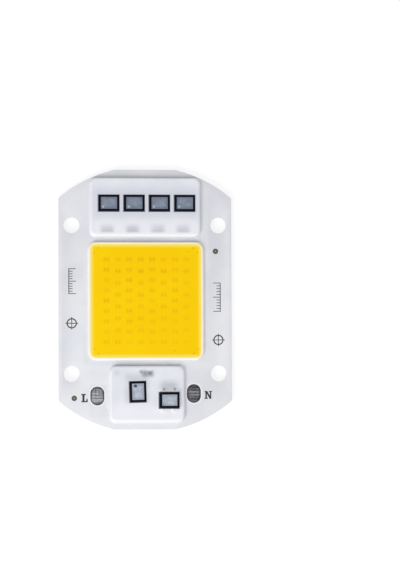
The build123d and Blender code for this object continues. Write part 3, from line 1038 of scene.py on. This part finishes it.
def make_driver_potting(settings):
    """The block over the four driver chips; the silicone climbs a little up each of them."""
    packages = [package_rect(node) for node in DRIVERS]
    resistors = [node_rect(f"{node}_caps") for node in RESISTORS]

    def relief(x, y):
        rise = settings.waviness * ripples(x, y, 7 * MM, seed=3)
        for rect in packages:
            rise = rise + climb(settings, distance_outside(x, y, rect))
        for rect in resistors:
            rise = rise + mound(distance_outside(x, y, rect), 0.02 * MM, 0.6 * MM)
        return rise

    def shade(coat):
        block = in_mm(node_rect("driver_potting"))
        chips = [in_mm(rect) for rect in packages]
        buried = [in_mm(rect) for rect in resistors]
        near_edge_highlight(coat, block, 1.0)
        far_edge_shadow(coat, block)
        for rect in chips:
            fillet_highlight(coat, rect)
        chip_row, low_row = (0.0, chips[0][1]), (0.0, buried[0][1])
        # Painted shade over the row of chips
        coat.box(chip_row, (0.0, 0.0), (24.5, 6.8), soft=1.6, amount=0.70, tint=CHIP_ROW_SHADE)
        # Painted light, paler towards the block's near side
        coat.box(low_row, (0.0, 0.0), (25.0, 3.6), soft=1.4, amount=0.65, tint=LOW_ROW_LIGHT)
        patch = coat.tree.noise(0.40, detail=0.0, roughness=0.0) * 0.5 + 0.65
        for rect in buried:
            width, length = rect[2] * 0.9, rect[3] * 0.8
            ghost, edge = patch * 0.72, patch * 0.75
            coat.box(rect, (-0.22, 0.0), (width, length), soft=0.95, amount=ghost, tint=RESISTOR_GHOST)
            coat.box(rect, (-0.22, -0.62), (width, 0.3), soft=0.55, amount=edge, tint=RESISTOR_EDGE)
        for rect in chips:
            contact_shadow(coat, rect, -0.06)

    material = silicone_material("driver_block_silicone", settings.colour, shade)
    pillow("driver_block", "driver_potting", settings, relief, material)


def make_input_potting(settings):
    """The block over the rectifier and the control chip, with lead shoulders showing through."""
    control = package_rect("control_ic")
    bridge = package_rect("bridge_rectifier")
    capacitor = node_rect("feed_capacitor_caps")
    middle = node_rect("bridge_rectifier_leads")[0]
    lead_x = [middle - LEAD_SHIFT, middle + LEAD_SHIFT]

    def relief(x, y):
        rise = settings.waviness * ripples(x, y, 6 * MM, seed=5)
        for rect, turn in ((control, CONTROL_TURN), (bridge, 0.0)):
            rise = rise + climb(settings, distance_outside(x, y, rect, turn))
        rise = rise + 0.16 * MM * np.exp(-distance_outside(x, y, bridge) / (0.7 * MM))
        for centre in lead_x:
            for side, height in ((-1, 0.13 * MM), (1, 0.18 * MM)):
                lead_y = bridge[1] + side * (bridge[3] / 2 + 0.30 * MM)
                gap = distance_outside(x, y, (centre, lead_y, 0.7 * MM, 0.6 * MM))
                rise = rise + mound(gap, height, 0.32 * MM)
        return rise + mound(distance_outside(x, y, capacitor), 0.05 * MM, 0.7 * MM)

    def shade(coat):
        block = in_mm(node_rect("input_potting"))
        bias = in_mm(node_rect("bias_resistor_caps"))
        chip, rectifier, cap = in_mm(control), in_mm(bridge), in_mm(capacitor)
        cloudy = coat.tree.noise(0.6, detail=0.0, roughness=0.0)
        near_edge_highlight(coat, block, 1.0)
        far_edge_shadow(coat, block)
        for rect in (chip, rectifier):
            fillet_highlight(coat, rect)
            # Painted glint at the far left corner of each package
            corner = (-rect[2] / 2, rect[3] / 2 + 0.22)
            coat.spot(rect, corner, radius=0.15, soft=0.25, amount=0.8, tint=HIGHLIGHT_WHITE)
        # Painted shade round the control chip
        size = (chip[2] + 1.3, chip[3] + 1.7)
        coat.box(chip, (-0.25, 0.85), size, soft=1.0, amount=cloudy * 0.2 + 0.26, tint=SHADE_AND_SHOW_THROUGH_GREY)
        # Painted light along the block's near side
        low_side = (0.0, 2.4 - block[3] / 2)
        coat.box(block, low_side, (17.0, 3.4), soft=1.6, amount=0.55, tint=NEAR_SIDE_LIGHT)
        body = cloudy * 0.2 + 0.68
        coat.box(cap, (0.20, -0.22), (2.6, 1.45), soft=0.55, amount=body, tint=CAPACITOR_GHOST)
        coat.spot(cap, (-1.35, 0.18), radius=0.32, soft=0.45, amount=0.85, tint=CAPACITOR_END)
        coat.spot(cap, (0.72, -0.12), radius=0.16, soft=0.42, amount=0.90, tint=DARK)
        # Painted glint over the buried capacitor
        coat.box(cap, (0.50, 0.62), (1.3, 0.12), soft=0.24, amount=0.9, tint=HIGHLIGHT_WHITE)
        # The buried bias resistor showing through
        coat.spot(bias, (0.0, 0.0), radius=0.5, soft=0.9, amount=0.28, tint=SHADE_AND_SHOW_THROUGH_GREY)
        edge = rectifier[3] / 2
        # Painted shadow beyond the rectifier's far side
        above = cloudy * 0.15 + 0.45
        coat.box(rectifier, (0.0, edge + 1.5), (3.8, 1.6), soft=1.1, amount=above, tint=SHADE_AND_SHOW_THROUGH_GREY)
        # Painted highlight on the silicone climbing the rectifier's far side
        coat.box(rectifier, (0.0, edge + 0.3), (4.6, 0.3), soft=0.25, amount=0.8, tint=HIGHLIGHT_WHITE)
        for centre in lead_x:
            lead = (centre / MM, rectifier[1])
            coat.spot(lead, (0.0, edge + 0.61), radius=0.22, soft=0.36, amount=0.85, tint=DARK)
            coat.spot(lead, (0.0, -edge - 0.45), radius=0.10, soft=0.36, amount=0.35, tint=SHADE_AND_SHOW_THROUGH_GREY)
        contact_shadow(coat, chip, -0.07, CONTROL_TURN)
        contact_shadow(coat, rectifier, -0.07)

    material = silicone_material("input_block_silicone", settings.colour, shade)
    pillow("input_block", "input_potting", settings, relief, material)


GEL_RADIUS = 1.5 * MM
DAM_STEPS = (140, 140)
DAM_ARC = 12


def make_dam(settings):
    """The bead round the light field: half an ellipse outside, a short fall to the gel inside."""
    x, y, width, length = node_rect("led_dam")
    thick = (width - node_rect("phosphor_gel")[2]) / 2
    path, out = rounded_rectangle(width, length, GEL_RADIUS + thick, DAM_STEPS, DAM_ARC)
    crest = thick * 0.6
    rise = np.linspace(0, pi / 2, 10)
    outer_x = -crest * (1 - np.cos(rise))
    outer_z = DAM_TOP - settings.dam_drop * (1 - np.sin(rise))
    fall = np.linspace(0, pi / 2, 7)[1:]
    inner_x = -crest - (thick - crest) * np.sin(fall)
    inner_z = DAM_TOP - settings.dam_dip * (1 - np.cos(fall))
    over = np.stack([np.append(outer_x, inner_x), np.append(outer_z, inner_z)], axis=1)
    foot = MASK_TOP - SINK
    start = np.array([[-thick, foot], [0.04 * MM, foot], [0.0, MASK_TOP + 0.05 * MM]])
    bead = turned(carried(path, out, np.concatenate([start, over, start[:1]])), (x, y))
    waves = ripples(bead[..., 0], bead[..., 1], 9 * MM, seed=8)
    bead[..., 2] += settings.waviness * waves * share_of_height(bead[..., 2], DAM_TOP)
    shell = Shell()
    shell.grid(bead, closed=True)

    def shade(coat):
        rect = in_mm((x, y, width, length))
        side_x = abs(coat.x - rect[0]) - (rect[2] / 2 - thick / MM)
        side_y = abs(coat.y - rect[1]) - (rect[3] / 2 - thick / MM)
        # Painted light: the gel's yellow light on the dam's inner side
        coat.lay(coat.tree.ramp(side_x.most(side_y), 0.42, 0.0) * 0.8, GEL_LIGHT_ON_DAM)
        near_edge_highlight(coat, rect, 0.5)
        far_edge_shadow(coat, rect)

    material = silicone_material("dam_silicone", settings.dam_colour_and_gel_light, shade)
    shell.piece("dam_bead", material, ("led_dam",))


# Gel

DIE_SIZE = (1.3 * MM, 0.8 * MM)
DIE_COLUMNS = 8
DIE_ROWS = (9, 8)
DIE_X, DIE_Y, DIE_FIELD_WIDTH, DIE_FIELD_LENGTH = node_rect("led_dies")
DIE_PITCH = (DIE_FIELD_WIDTH - DIE_SIZE[0]) / (DIE_COLUMNS - 1)
DIE_REACH = DIE_FIELD_LENGTH - DIE_SIZE[1]
SPECK_BROWN = (0.50, 0.22, 0.004)


def die_centres():
    """Centres of the dies: columns of nine and of eight in turn, over one height."""
    columns = [
        [(DIE_X + (column - (DIE_COLUMNS - 1) / 2) * DIE_PITCH, DIE_Y + place)
         for place in np.linspace(-DIE_REACH / 2, DIE_REACH / 2, DIE_ROWS[column % 2])]
        for column in range(DIE_COLUMNS)
    ]
    return np.array([centre for column in columns for centre in column])


def depth_inside(x, y, rect, radius):
    """Distance inwards from the edge of a rounded rectangle.

    It is the radius, less the distance to the rectangle of the corners' centres, plus the depth
    inside that rectangle.
    """
    across = abs(x - rect[0]) - (rect[2] / 2 - radius)
    along = abs(y - rect[1]) - (rect[3] / 2 - radius)
    beyond = np.hypot(np.maximum(across, 0), np.maximum(along, 0))
    return radius - beyond - np.minimum(np.maximum(across, along), 0)


def die_marks(coat):
    """How plainly the dies show: two spots side by side for each, unlike from die to die.

    A die's column is the rounded place across the field, and its row is the rounded place along
    that column, whose pitch depends on the column being odd. The upper left shows most.
    """
    tree = coat.tree
    across_field = coat.x - DIE_X / MM
    along_field = coat.y - DIE_Y / MM
    column_pitch = DIE_PITCH / MM
    last = DIE_COLUMNS - 1.0
    column = (across_field / column_pitch + last / 2).maths("ROUND").most(0.0).least(last)
    across = across_field - (column - last / 2) * column_pitch
    odd = column.maths("MODULO", 2.0)
    reach = DIE_REACH / MM
    long_pitch, short_pitch = (reach / (rows - 1) for rows in DIE_ROWS)
    pitch = odd * (short_pitch - long_pitch) + long_pitch
    last_row = (DIE_ROWS[0] - 1.0) - odd
    row = ((along_field + reach / 2) / pitch).maths("ROUND").most(0.0).least(last_row)
    along = along_field + reach / 2 - row * pitch
    vary = tree.add("ShaderNodeTexWhiteNoise", {"noise_dimensions": "2D"}, {
        "Vector": tree.add("ShaderNodeCombineXYZ", {}, {"X": column, "Y": row}),
    })
    spot_x = (abs(across) - 0.36) / 0.34
    spot_y = along / 0.50
    near = (spot_x * spot_x + spot_y * spot_y).root()
    grime = tree.noise(2.6, roughness=0.65) * 0.9 + 0.3
    strength = tree.ramp(along_field - across_field * 0.5, -12.0, 12.0) * 0.55 + 0.55
    return tree.ramp(near, 1.70, 0.15) * (vary * 0.5 + 0.5) * grime * strength


def corner_specks(coat, rect):
    """The brown specks near the gel's corners, a dash at the upper right and a dot below."""
    tree = coat.tree
    fold_x = abs(coat.x - rect[0])
    fold_y = abs(coat.y - rect[1])
    first = tree.spot(fold_x, fold_y, (11.0, 12.2), radius=0.13, soft=0.18)
    second = tree.spot(fold_x, fold_y, (12.0, 11.15), radius=0.13, soft=0.18)
    dash = tree.box_mask(coat.x, coat.y, (9.75, 11.05), size=(0.7, 0.12), soft=0.14) * 0.6
    dot = tree.spot(coat.x, coat.y, (6.75, -11.8), radius=0.13, soft=0.18) * 0.8
    return first.most(second).most(dash).most(dot)


def gel_material(settings):
    """Phosphor gel: a fine-grained yellow, paler at the dam, and orange over each die."""
    tree = Tree("phosphor_gel_finish", Specular_IOR_Level=0.06)
    cloud = tree.noise(0.10, detail=2.0, roughness=0.5)
    grain = tree.noise(9.0, detail=2.0)
    deep = tinted(settings.colour, (1.0, 0.955, 0.8))
    coat = Coat(tree, tree.mottled(cloud, settings.colour, deep))
    rect = in_mm(node_rect("phosphor_gel"))
    coat.lay(die_marks(coat), settings.die_colour)
    coat.lay(corner_specks(coat, rect) * 0.75, SPECK_BROWN)
    side_x = rect[2] / 2 - abs(coat.x - rect[0])
    side_y = rect[3] / 2 - abs(coat.y - rect[1])
    coat.lay(tree.ramp(side_x.least(side_y), 0.95, 0.0), settings.rim_colour)
    return tree.finish(coat.colour, grain * 0.16 + 0.34, grain, depth=0.008 * MM, strength=0.3)


GEL_OVERLAP = 0.03 * MM
GEL_STEPS = (120, 124)
GEL_ARC = 8


def make_gel(settings):
    """The gel's surface: level, raised at the dam by a meniscus, with a faint rise over each die.

    Its height = top - rim rise * (1 - exp(-depth / rim reach)) + die rise * the sum over the dies
    of exp(-(distance / 0.7 mm) ** 2).
    """
    x, y, width, length = node_rect("phosphor_gel")
    radius = GEL_RADIUS + GEL_OVERLAP
    rect = (x, y, width + 2 * GEL_OVERLAP, length + 2 * GEL_OVERLAP)
    path, out = rounded_rectangle(rect[2], rect[3], radius, GEL_STEPS, GEL_ARC)
    wall = carried(path, out, [(0.0, MASK_TOP - 0.02 * MM), (0.0, GEL_TOP)])
    top = turned(lifted(filled(path, GEL_STEPS, GEL_ARC), GEL_TOP), (x, y))
    depth = depth_inside(top[..., 0], top[..., 1], rect, radius)
    sink = settings.rim_rise * (1 - np.exp(-depth / settings.rim_reach))
    offset = top[..., None, :2] - die_centres()
    swell = np.exp(-(offset ** 2).sum(axis=-1) / (0.7 * MM) ** 2).sum(axis=-1)
    top[..., 2] += settings.die_rise * swell - sink
    shell = Shell()
    shell.grid(turned(wall, (x, y)), closed=True)
    shell.grid(top)
    shell.lid(turned(wall[0], (x, y)))
    shell.piece("gel_field", gel_material(settings), ("phosphor_gel",))


# Packages

PACKAGE_DRAFT = radians(5)
PACKAGE_CORNER = 0.07 * MM
PACKAGE_ARC = 4
TOP_STEP = 0.04 * MM
TOP_BORDER = 1.9
PALE_MARK = (0.40, 0.45, 0.54)
DARK_MARK = (0.03, 0.035, 0.05)


def package_material(name, settings, node, mark, top_sheen_colour, turn):
    """Moulded black epoxy: a ground top whose blue-grey and fine mottle are a painted reflection,
    and near black on bevel and sides.

    The painted reflection is a little darker towards the top's near side and its border, and the
    top is tinted at its mark.
    """
    tree = Tree(name, Specular_IOR_Level=0.06)
    mottle = tree.noise(1.1, detail=4.0)
    fine = tree.noise(11.0)
    rect = in_mm(package_rect(node))
    top = top_of(node) / MM
    dark, light, border = (tinted(top_sheen_colour, factor) for factor in (0.72, 1.20, 0.60))
    coat = Coat(tree, tree.mottled(mottle * 0.75 + fine * 0.25, dark, light, low=0.28, high=0.72))
    # Painted reflection, a little darker towards the top's near side
    coat.lay(tree.ramp(coat.y, rect[1] + 0.2, rect[1] - rect[3] / 2) * 0.20, dark)
    # Painted reflection, darker round the border of the top
    size = (rect[2] - TOP_BORDER, rect[3] - TOP_BORDER)
    inner = tree.box_mask(coat.x, coat.y, rect[:2], size, 0.50, turn)
    coat.lay((1.0 - inner) * 0.75, border)
    centre, radius, tint = mark
    dimple = tree.spot(coat.x, coat.y, in_mm(centre), radius / MM, 0.10)
    coat.lay(dimple * 0.9, tint)
    face = tree.ramp(coat.z, top - 0.014, top - 0.004).most(dimple)
    colour = tree.mix(face, settings.bevel_colour, coat.colour)
    roughness = face * 0.20 + fine * 0.10 + 0.30
    return tree.finish(colour, roughness, fine, depth=0.006 * MM, strength=0.4)


def lead_mark(node, inset, radius, tint, upper=False):
    """Centre, radius and tint of the mark at a package's first lead, set in from a left corner."""
    x, y, width, length = package_rect(node)
    side = 1 if upper else -1
    return (x - width / 2 + inset[0], y + side * (length / 2 - inset[1])), radius, tint


def package(name, node, settings, mark, top_sheen_colour, turn=0.0):
    """A moulded body with a dimple that marks its first lead.

    Each ring is a rounded rectangle grown by the profile's offset; the profile is widest at the
    parting line, leans in to the bevel, and every corner of it is rounded. The dimple's depth
    falls as t ** 2 * (3 - 2 * t) round the mark.
    """
    low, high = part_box(node)
    x, y, width, length = package_rect(node)
    middle = (low.z + high.z) / 2
    lean = (high.z - middle) * tan(PACKAGE_DRAFT)
    inner = -lean - settings.bevel
    profile = softened([
        (-lean - 0.2 * MM, low.z),
        (-lean, low.z),
        (0.0, middle),
        (-lean, high.z - settings.bevel * 0.5),
        (inner, high.z),
        (inner - 0.04 * MM, high.z),
    ], settings.edge_round)
    steps = (int((width + 2 * inner) / TOP_STEP), int((length + 2 * inner) / TOP_STEP))
    rings = []
    for offset in profile[:, 0]:
        size = (width + 2 * offset, length + 2 * offset)
        rings.append(rounded_rectangle(*size, PACKAGE_CORNER, steps, PACKAGE_ARC)[0])
    wall = turned(lifted(np.stack(rings), profile[:, 1]), (x, y), turn)
    top = turned(lifted(filled(rings[-1], steps, PACKAGE_ARC), high.z), (x, y), turn)
    centre, radius, _ = mark
    away = np.hypot(top[..., 0] - centre[0], top[..., 1] - centre[1]) / radius
    t = np.clip((1.2 - away) / 0.4, 0, 1)
    top[..., 2] -= settings.dimple_depth * t ** 2 * (3 - 2 * t)
    shell = Shell()
    shell.grid(wall, closed=True)
    shell.grid(top)
    shell.lid(wall[0])
    material = package_material(f"{name}_epoxy", settings, node, mark, top_sheen_colour, turn)
    shell.piece(name, material, (node,), sharp=50.0)


def make_drivers(settings):
    """The four driver packages, each with its dimple at the lower left."""
    for number, node in enumerate(DRIVERS, start=1):
        mark = lead_mark(node, (1.12 * MM, 1.10 * MM), 0.37 * MM, PALE_MARK)
        package(f"driver_package_{number}", node, settings, mark, settings.driver_top_sheen)


def make_input_packages(settings):
    """The control package, turned a little, and the taller bridge rectifier."""
    mark = lead_mark("control_ic", (1.35 * MM, 1.15 * MM), 0.34 * MM, DARK_MARK, upper=True)
    package("control_package", "control_ic", settings, mark, settings.input_top_sheen, CONTROL_TURN)
    mark = lead_mark("bridge_rectifier", (1.12 * MM, 1.05 * MM), 0.28 * MM, PALE_MARK)
    package("bridge_package", "bridge_rectifier", settings, mark, settings.input_top_sheen)


# Wire pads

PAD_EDGE = 0.06 * MM
PAD_ROUNDING = 0.49
PAD_STEPS = (10, 36)
PAD_ARC = 14
DULL_TIN = (0.13, 0.13, 0.14)
BRIGHT_TIN = (0.55, 0.55, 0.60)
DARK_RIM = (0.035, 0.035, 0.045)


def solder_material(name, rect, shine):
    """Tinned copper, drawn out in level streaks, and dark along the pad's edge and at its ends."""
    tree = Tree(f"{name}_tin", Metallic=1.0)
    x, y, _ = tree.axes()
    streak = tree.noise(2.6, vector=tree.place(scale=(0.04, 1.0, 1.0)))
    fine = tree.noise(8.0, vector=tree.place(scale=(0.12, 1.0, 1.0)))
    scratch = tree.noise(3.0, detail=2.0, roughness=0.5, vector=tree.place(scale=(1.0, 0.05, 1.0)))
    tone = streak * 0.65 + fine * 0.20 + scratch * 0.15
    tin = tree.mottled(tone, tinted(DULL_TIN, shine), tinted(BRIGHT_TIN, shine), low=0.42, high=0.58)
    ends = tree.ramp(abs(y - rect[1] - 0.3), 0.4, 1.9) * 0.55
    rim = tree.ramp(beyond_pad(x, y, rect), -0.60, -0.08).most(ends)
    colour = tree.mix(rim * 0.9, tin, DARK_RIM)
    relief = streak * 0.7 + fine * 0.3
    return tree.finish(colour, fine * 0.25 + 0.30, relief, depth=0.02 * MM, strength=0.4)


def make_wire_pads():
    """The line and neutral pads: low domes of solder with rounded ends.

    The dome's height = its edge height + rise * (1 - share ** 2) * (1 + waves / 4), share being
    the distance from the middle line over the half width.
    """
    for name, (node, shine) in PADS.items():
        material = solder_material(name, in_mm(node_rect(node)), shine)
        x, y, width, length = node_rect(node)
        high = top_of(node)
        radius = width * PAD_ROUNDING
        path, out = rounded_rectangle(width, length, radius, PAD_STEPS, PAD_ARC)
        wall = carried(path, out, [
            (0.0, COPPER_TOP),
            (0.0, high - 2 * PAD_EDGE),
            (-PAD_EDGE * 0.3, high - 1.3 * PAD_EDGE),
            (-PAD_EDGE, high - PAD_EDGE),
        ])
        top = lifted(filled(wall[-1, :, :2], PAD_STEPS, PAD_ARC), high - PAD_EDGE)
        depth = depth_inside(top[..., 0], top[..., 1], (0.0, 0.0, width, length), radius)
        share = np.clip(1 - (depth - PAD_EDGE) / (width / 2 - PAD_EDGE), 0, 1)
        waves = ripples(top[..., 0] * 0.3, top[..., 1], 0.9 * MM, seed=11)
        top[..., 2] += PAD_EDGE * (1 - share ** 2) * (1 + 0.25 * waves)
        wall = turned(wall, (x, y))
        shell = Shell()
        shell.grid(wall, closed=True)
        shell.grid(turned(top, (x, y)))
        shell.lid(wall[0])
        shell.piece(name, material, (node,))


# Parts that keep their solids

def copper_material():
    """Etched copper foil, dulled by the layers over it."""
    tree = Tree("copper_foil", Metallic=1.0)
    colour = tree.mix(tree.noise(0.8, detail=4.0), (0.62, 0.26, 0.14), (0.86, 0.45, 0.28))
    fine = tree.noise(12.0)
    return tree.finish(colour, fine * 0.25 + 0.30, fine, depth=0.006 * MM, strength=0.5)


def die_material():
    """Flip-chip dies: blue-grey sapphire with a fine sawn edge."""
    tree = Tree("sapphire_die")
    saw = tree.noise(9.0, vector=tree.place(scale=(1.0, 1.0, 6.0)))
    colour = tree.mix(saw, (0.22, 0.30, 0.42), (0.42, 0.50, 0.62))
    return tree.finish(colour, saw * 0.2 + 0.15, saw, depth=0.005 * MM, strength=0.4)


def lead_material():
    """Tin-plated leads and end caps: bright grey with a slightly frosted surface."""
    tree = Tree("tinned_leads", Metallic=1.0)
    colour = tree.mix(tree.noise(2.0, detail=4.0), (0.50, 0.51, 0.52), (0.74, 0.75, 0.76))
    frost = tree.noise(16.0)
    return tree.finish(colour, frost * 0.3 + 0.25, frost, depth=0.006 * MM, strength=0.5)


def ceramic_material():
    """Alumina chip bodies: off-white, matt, faintly grained."""
    tree = Tree("alumina")
    grain = tree.noise(10.0, roughness=0.65)
    colour = tree.mix(grain, (0.52, 0.50, 0.46), (0.72, 0.70, 0.66))
    return tree.finish(colour, grain * 0.2 + 0.5, grain, depth=0.008 * MM, strength=0.4)


def finish_solids():
    """Gives each solid that stays as it is the finish of its kind."""
    finishes = {"copper_circuit": copper_material(), "led_dies": die_material()}
    finishes.update(dict.fromkeys(RESISTORS + ["feed_capacitor", "bias_resistor"], ceramic_material()))
    tin = lead_material()
    for name, solid in frame["nodes"].items():
        finish = tin if name.endswith(("_leads", "_caps")) else finishes.get(name)
        if finish is None:
            continue
        for place in solid.material_slots:
            place.material = finish


# Stage

FLOOR_LEVEL = -0.02 * MM
FLOOR_RADII = (0.05, 0.3, 2.0)
KEY_SIZE = 0.35
KEY_PLACE = (-0.28, -0.37, 0.44)
WHITE = (1.0, 1.0, 1.0, 1.0)


def floor_material(settings):
    """Plain pale card; the camera, mirrors and glass see it a little lighter."""
    tree = Tree("floor_card", Roughness=0.9)
    grain = tree.noise(0.9)
    card = tree.mix(grain, tinted(settings.floor_colour, 0.985), settings.floor_colour)
    tree.feed(tree.shader.inputs["Base Color"], card)
    seen, mirrored, through = (
        tree.add("ShaderNodeLightPath", output=ray)
        for ray in ("Is Camera Ray", "Is Glossy Ray", "Is Transmission Ray")
    )
    lift = seen.most(mirrored).most(through) * settings.floor_lift
    glow = tree.add("ShaderNodeEmission", {}, {"Color": WHITE, "Strength": lift})
    lit = Value(tree, tree.shader.outputs[0])
    tree.feed(tree.output.inputs["Surface"], tree.add("ShaderNodeAddShader", {}, {0: lit, 1: glow}))
    return tree.material


def make_floor(settings):
    """A round floor just under the board: each ring is a circle of a wider radius."""
    angle = np.linspace(0, 2 * pi, CIRCLE_POINTS, endpoint=False)
    radius = np.array(FLOOR_RADII)[:, None]
    flat = np.stack([radius * np.cos(angle), radius * np.sin(angle)], axis=2)
    rings = lifted(flat, FLOOR_LEVEL)
    shell = Shell()
    shell.grid(rings, closed=True)
    shell.lid(rings[0])
    mesh = bpy.data.meshes.new("floor")
    mesh.from_pydata(np.concatenate(shell.points).tolist(), [], shell.faces)
    floor = bpy.data.objects.new("floor", mesh)
    bpy.context.scene.collection.objects.link(floor)
    mesh.materials.append(floor_material(settings))


def make_lights(settings):
    """Even light from all round, and one soft lamp at the lower left."""
    world = bpy.data.worlds.new("studio")
    world.use_nodes = True
    background = world.node_tree.nodes["Background"]
    background.inputs["Color"].default_value = WHITE
    background.inputs["Strength"].default_value = settings.world_level
    bpy.context.scene.world = world
    bpy.context.scene.view_settings.view_transform = "Standard"
    lamp = bpy.data.lights.new("key", "AREA")
    lamp.shape = "SQUARE"
    lamp.size = KEY_SIZE
    lamp.energy = settings.key_power
    key = bpy.data.objects.new("key", lamp)
    key.location = KEY_PLACE
    key.rotation_euler = Vector(KEY_PLACE).to_track_quat("Z", "Y").to_euler()
    bpy.context.scene.collection.objects.link(key)


def make_camera(settings):
    """The camera above the board, a little towards its lower left, looking right of its centre."""
    lean_x, lean_y = (sin(angle) for angle in settings.camera_lean)
    upright = sqrt(1 - lean_x ** 2 - lean_y ** 2)
    eye = Vector((lean_x, lean_y, upright)) * settings.camera_distance
    aim = Vector((settings.camera_aim[0], settings.camera_aim[1], MASK_TOP))
    back = (eye - aim).normalized()
    right = Vector((0.0, 1.0, 0.0)).cross(back).normalized()
    up = back.cross(right)
    roll = settings.camera_roll
    right, up = right * cos(roll) + up * sin(roll), up * cos(roll) - right * sin(roll)
    lens = bpy.data.cameras.new("camera")
    lens.lens = settings.camera_lens
    lens.clip_start = 0.01
    camera = bpy.data.objects.new("camera", lens)
    camera.matrix_world = Matrix((
        (right.x, up.x, back.x, eye.x),
        (right.y, up.y, back.y, eye.y),
        (right.z, up.z, back.z, eye.z),
        (0.0, 0.0, 0.0, 1.0),
    ))
    bpy.context.scene.collection.objects.link(camera)
    bpy.context.scene.camera = camera


# Operators and panel

class LEDMODULE_OT_board(Operator):
    """Builds the aluminium plate and its insulating layer."""

    bl_idname = "led_module.board"
    bl_label = "Base board"

    def execute(self, context):
        make_base_board(context.scene.led_board)
        return {"FINISHED"}


class LEDMODULE_OT_mask(Operator):
    """Builds the solder mask, with its plateaus over the copper."""

    bl_idname = "led_module.mask"
    bl_label = "Solder mask"

    def execute(self, context):
        make_mask(context.scene.led_board)
        return {"FINISHED"}


class LEDMODULE_OT_printing(Operator):
    """Prints the terminal letters, ring dots, scales and targets."""

    bl_idname = "led_module.printing"
    bl_label = "Printing"

    def execute(self, context):
        make_printing(context.scene.led_board)
        return {"FINISHED"}


class LEDMODULE_OT_light_field(Operator):
    """Builds the dam and the phosphor gel inside it."""

    bl_idname = "led_module.light_field"
    bl_label = "Light field"

    def execute(self, context):
        make_dam(context.scene.led_silicone)
        make_gel(context.scene.led_gel)
        return {"FINISHED"}


class LEDMODULE_OT_potting(Operator):
    """Pours the two blocks of silicone."""

    bl_idname = "led_module.potting"
    bl_label = "Potting blocks"

    def execute(self, context):
        make_driver_potting(context.scene.led_silicone)
        make_input_potting(context.scene.led_silicone)
        return {"FINISHED"}


class LEDMODULE_OT_packages(Operator):
    """Builds the four driver packages, the control package and the bridge rectifier."""

    bl_idname = "led_module.packages"
    bl_label = "Packages"

    def execute(self, context):
        make_drivers(context.scene.led_package)
        make_input_packages(context.scene.led_package)
        return {"FINISHED"}


class LEDMODULE_OT_wire_pads(Operator):
    """Builds the tinned line and neutral pads."""

    bl_idname = "led_module.wire_pads"
    bl_label = "Wire pads"

    def execute(self, context):
        make_wire_pads()
        return {"FINISHED"}


class LEDMODULE_OT_solids(Operator):
    """Finishes the copper, dies, leads and chip parts, which keep their solids."""

    bl_idname = "led_module.solids"
    bl_label = "Finishes of the solids"

    def execute(self, context):
        finish_solids()
        return {"FINISHED"}


class LEDMODULE_OT_stage(Operator):
    """Lays the floor and sets the lights and the camera."""

    bl_idname = "led_module.stage"
    bl_label = "Stage"

    def execute(self, context):
        make_floor(context.scene.led_studio)
        make_lights(context.scene.led_studio)
        make_camera(context.scene.led_studio)
        return {"FINISHED"}


OPERATORS = (
    LEDMODULE_OT_board,
    LEDMODULE_OT_mask,
    LEDMODULE_OT_printing,
    LEDMODULE_OT_light_field,
    LEDMODULE_OT_potting,
    LEDMODULE_OT_packages,
    LEDMODULE_OT_wire_pads,
    LEDMODULE_OT_solids,
    LEDMODULE_OT_stage,
)


class LEDMODULE_PT_panel(Panel):
    """Lists the steps that build the module."""

    bl_label = "LED module"
    bl_space_type = "VIEW_3D"
    bl_region_type = "UI"
    bl_category = "LED module"

    def draw(self, context):
        for step in OPERATORS:
            self.layout.operator(step.bl_idname)


SETTINGS = {
    "led_board": BoardSettings,
    "led_silicone": SiliconeSettings,
    "led_gel": GelSettings,
    "led_package": PackageSettings,
    "led_studio": StudioSettings,
}


def register():
    for kind in (*SETTINGS.values(), *OPERATORS, LEDMODULE_PT_panel):
        bpy.utils.register_class(kind)
    for name, kind in SETTINGS.items():
        setattr(bpy.types.Scene, name, PointerProperty(type=kind))


def unregister():
    for name in SETTINGS:
        delattr(bpy.types.Scene, name)
    for kind in (LEDMODULE_PT_panel, *reversed(OPERATORS), *reversed(SETTINGS.values())):
        bpy.utils.unregister_class(kind)


def main():
    """Builds the module step by step."""
    register()
    bpy.ops.led_module.board()
    bpy.ops.led_module.mask()
    bpy.ops.led_module.printing()
    bpy.ops.led_module.light_field()
    bpy.ops.led_module.potting()
    bpy.ops.led_module.packages()
    bpy.ops.led_module.wire_pads()
    bpy.ops.led_module.solids()
    bpy.ops.led_module.stage()


if __name__ == "__main__":
    main()
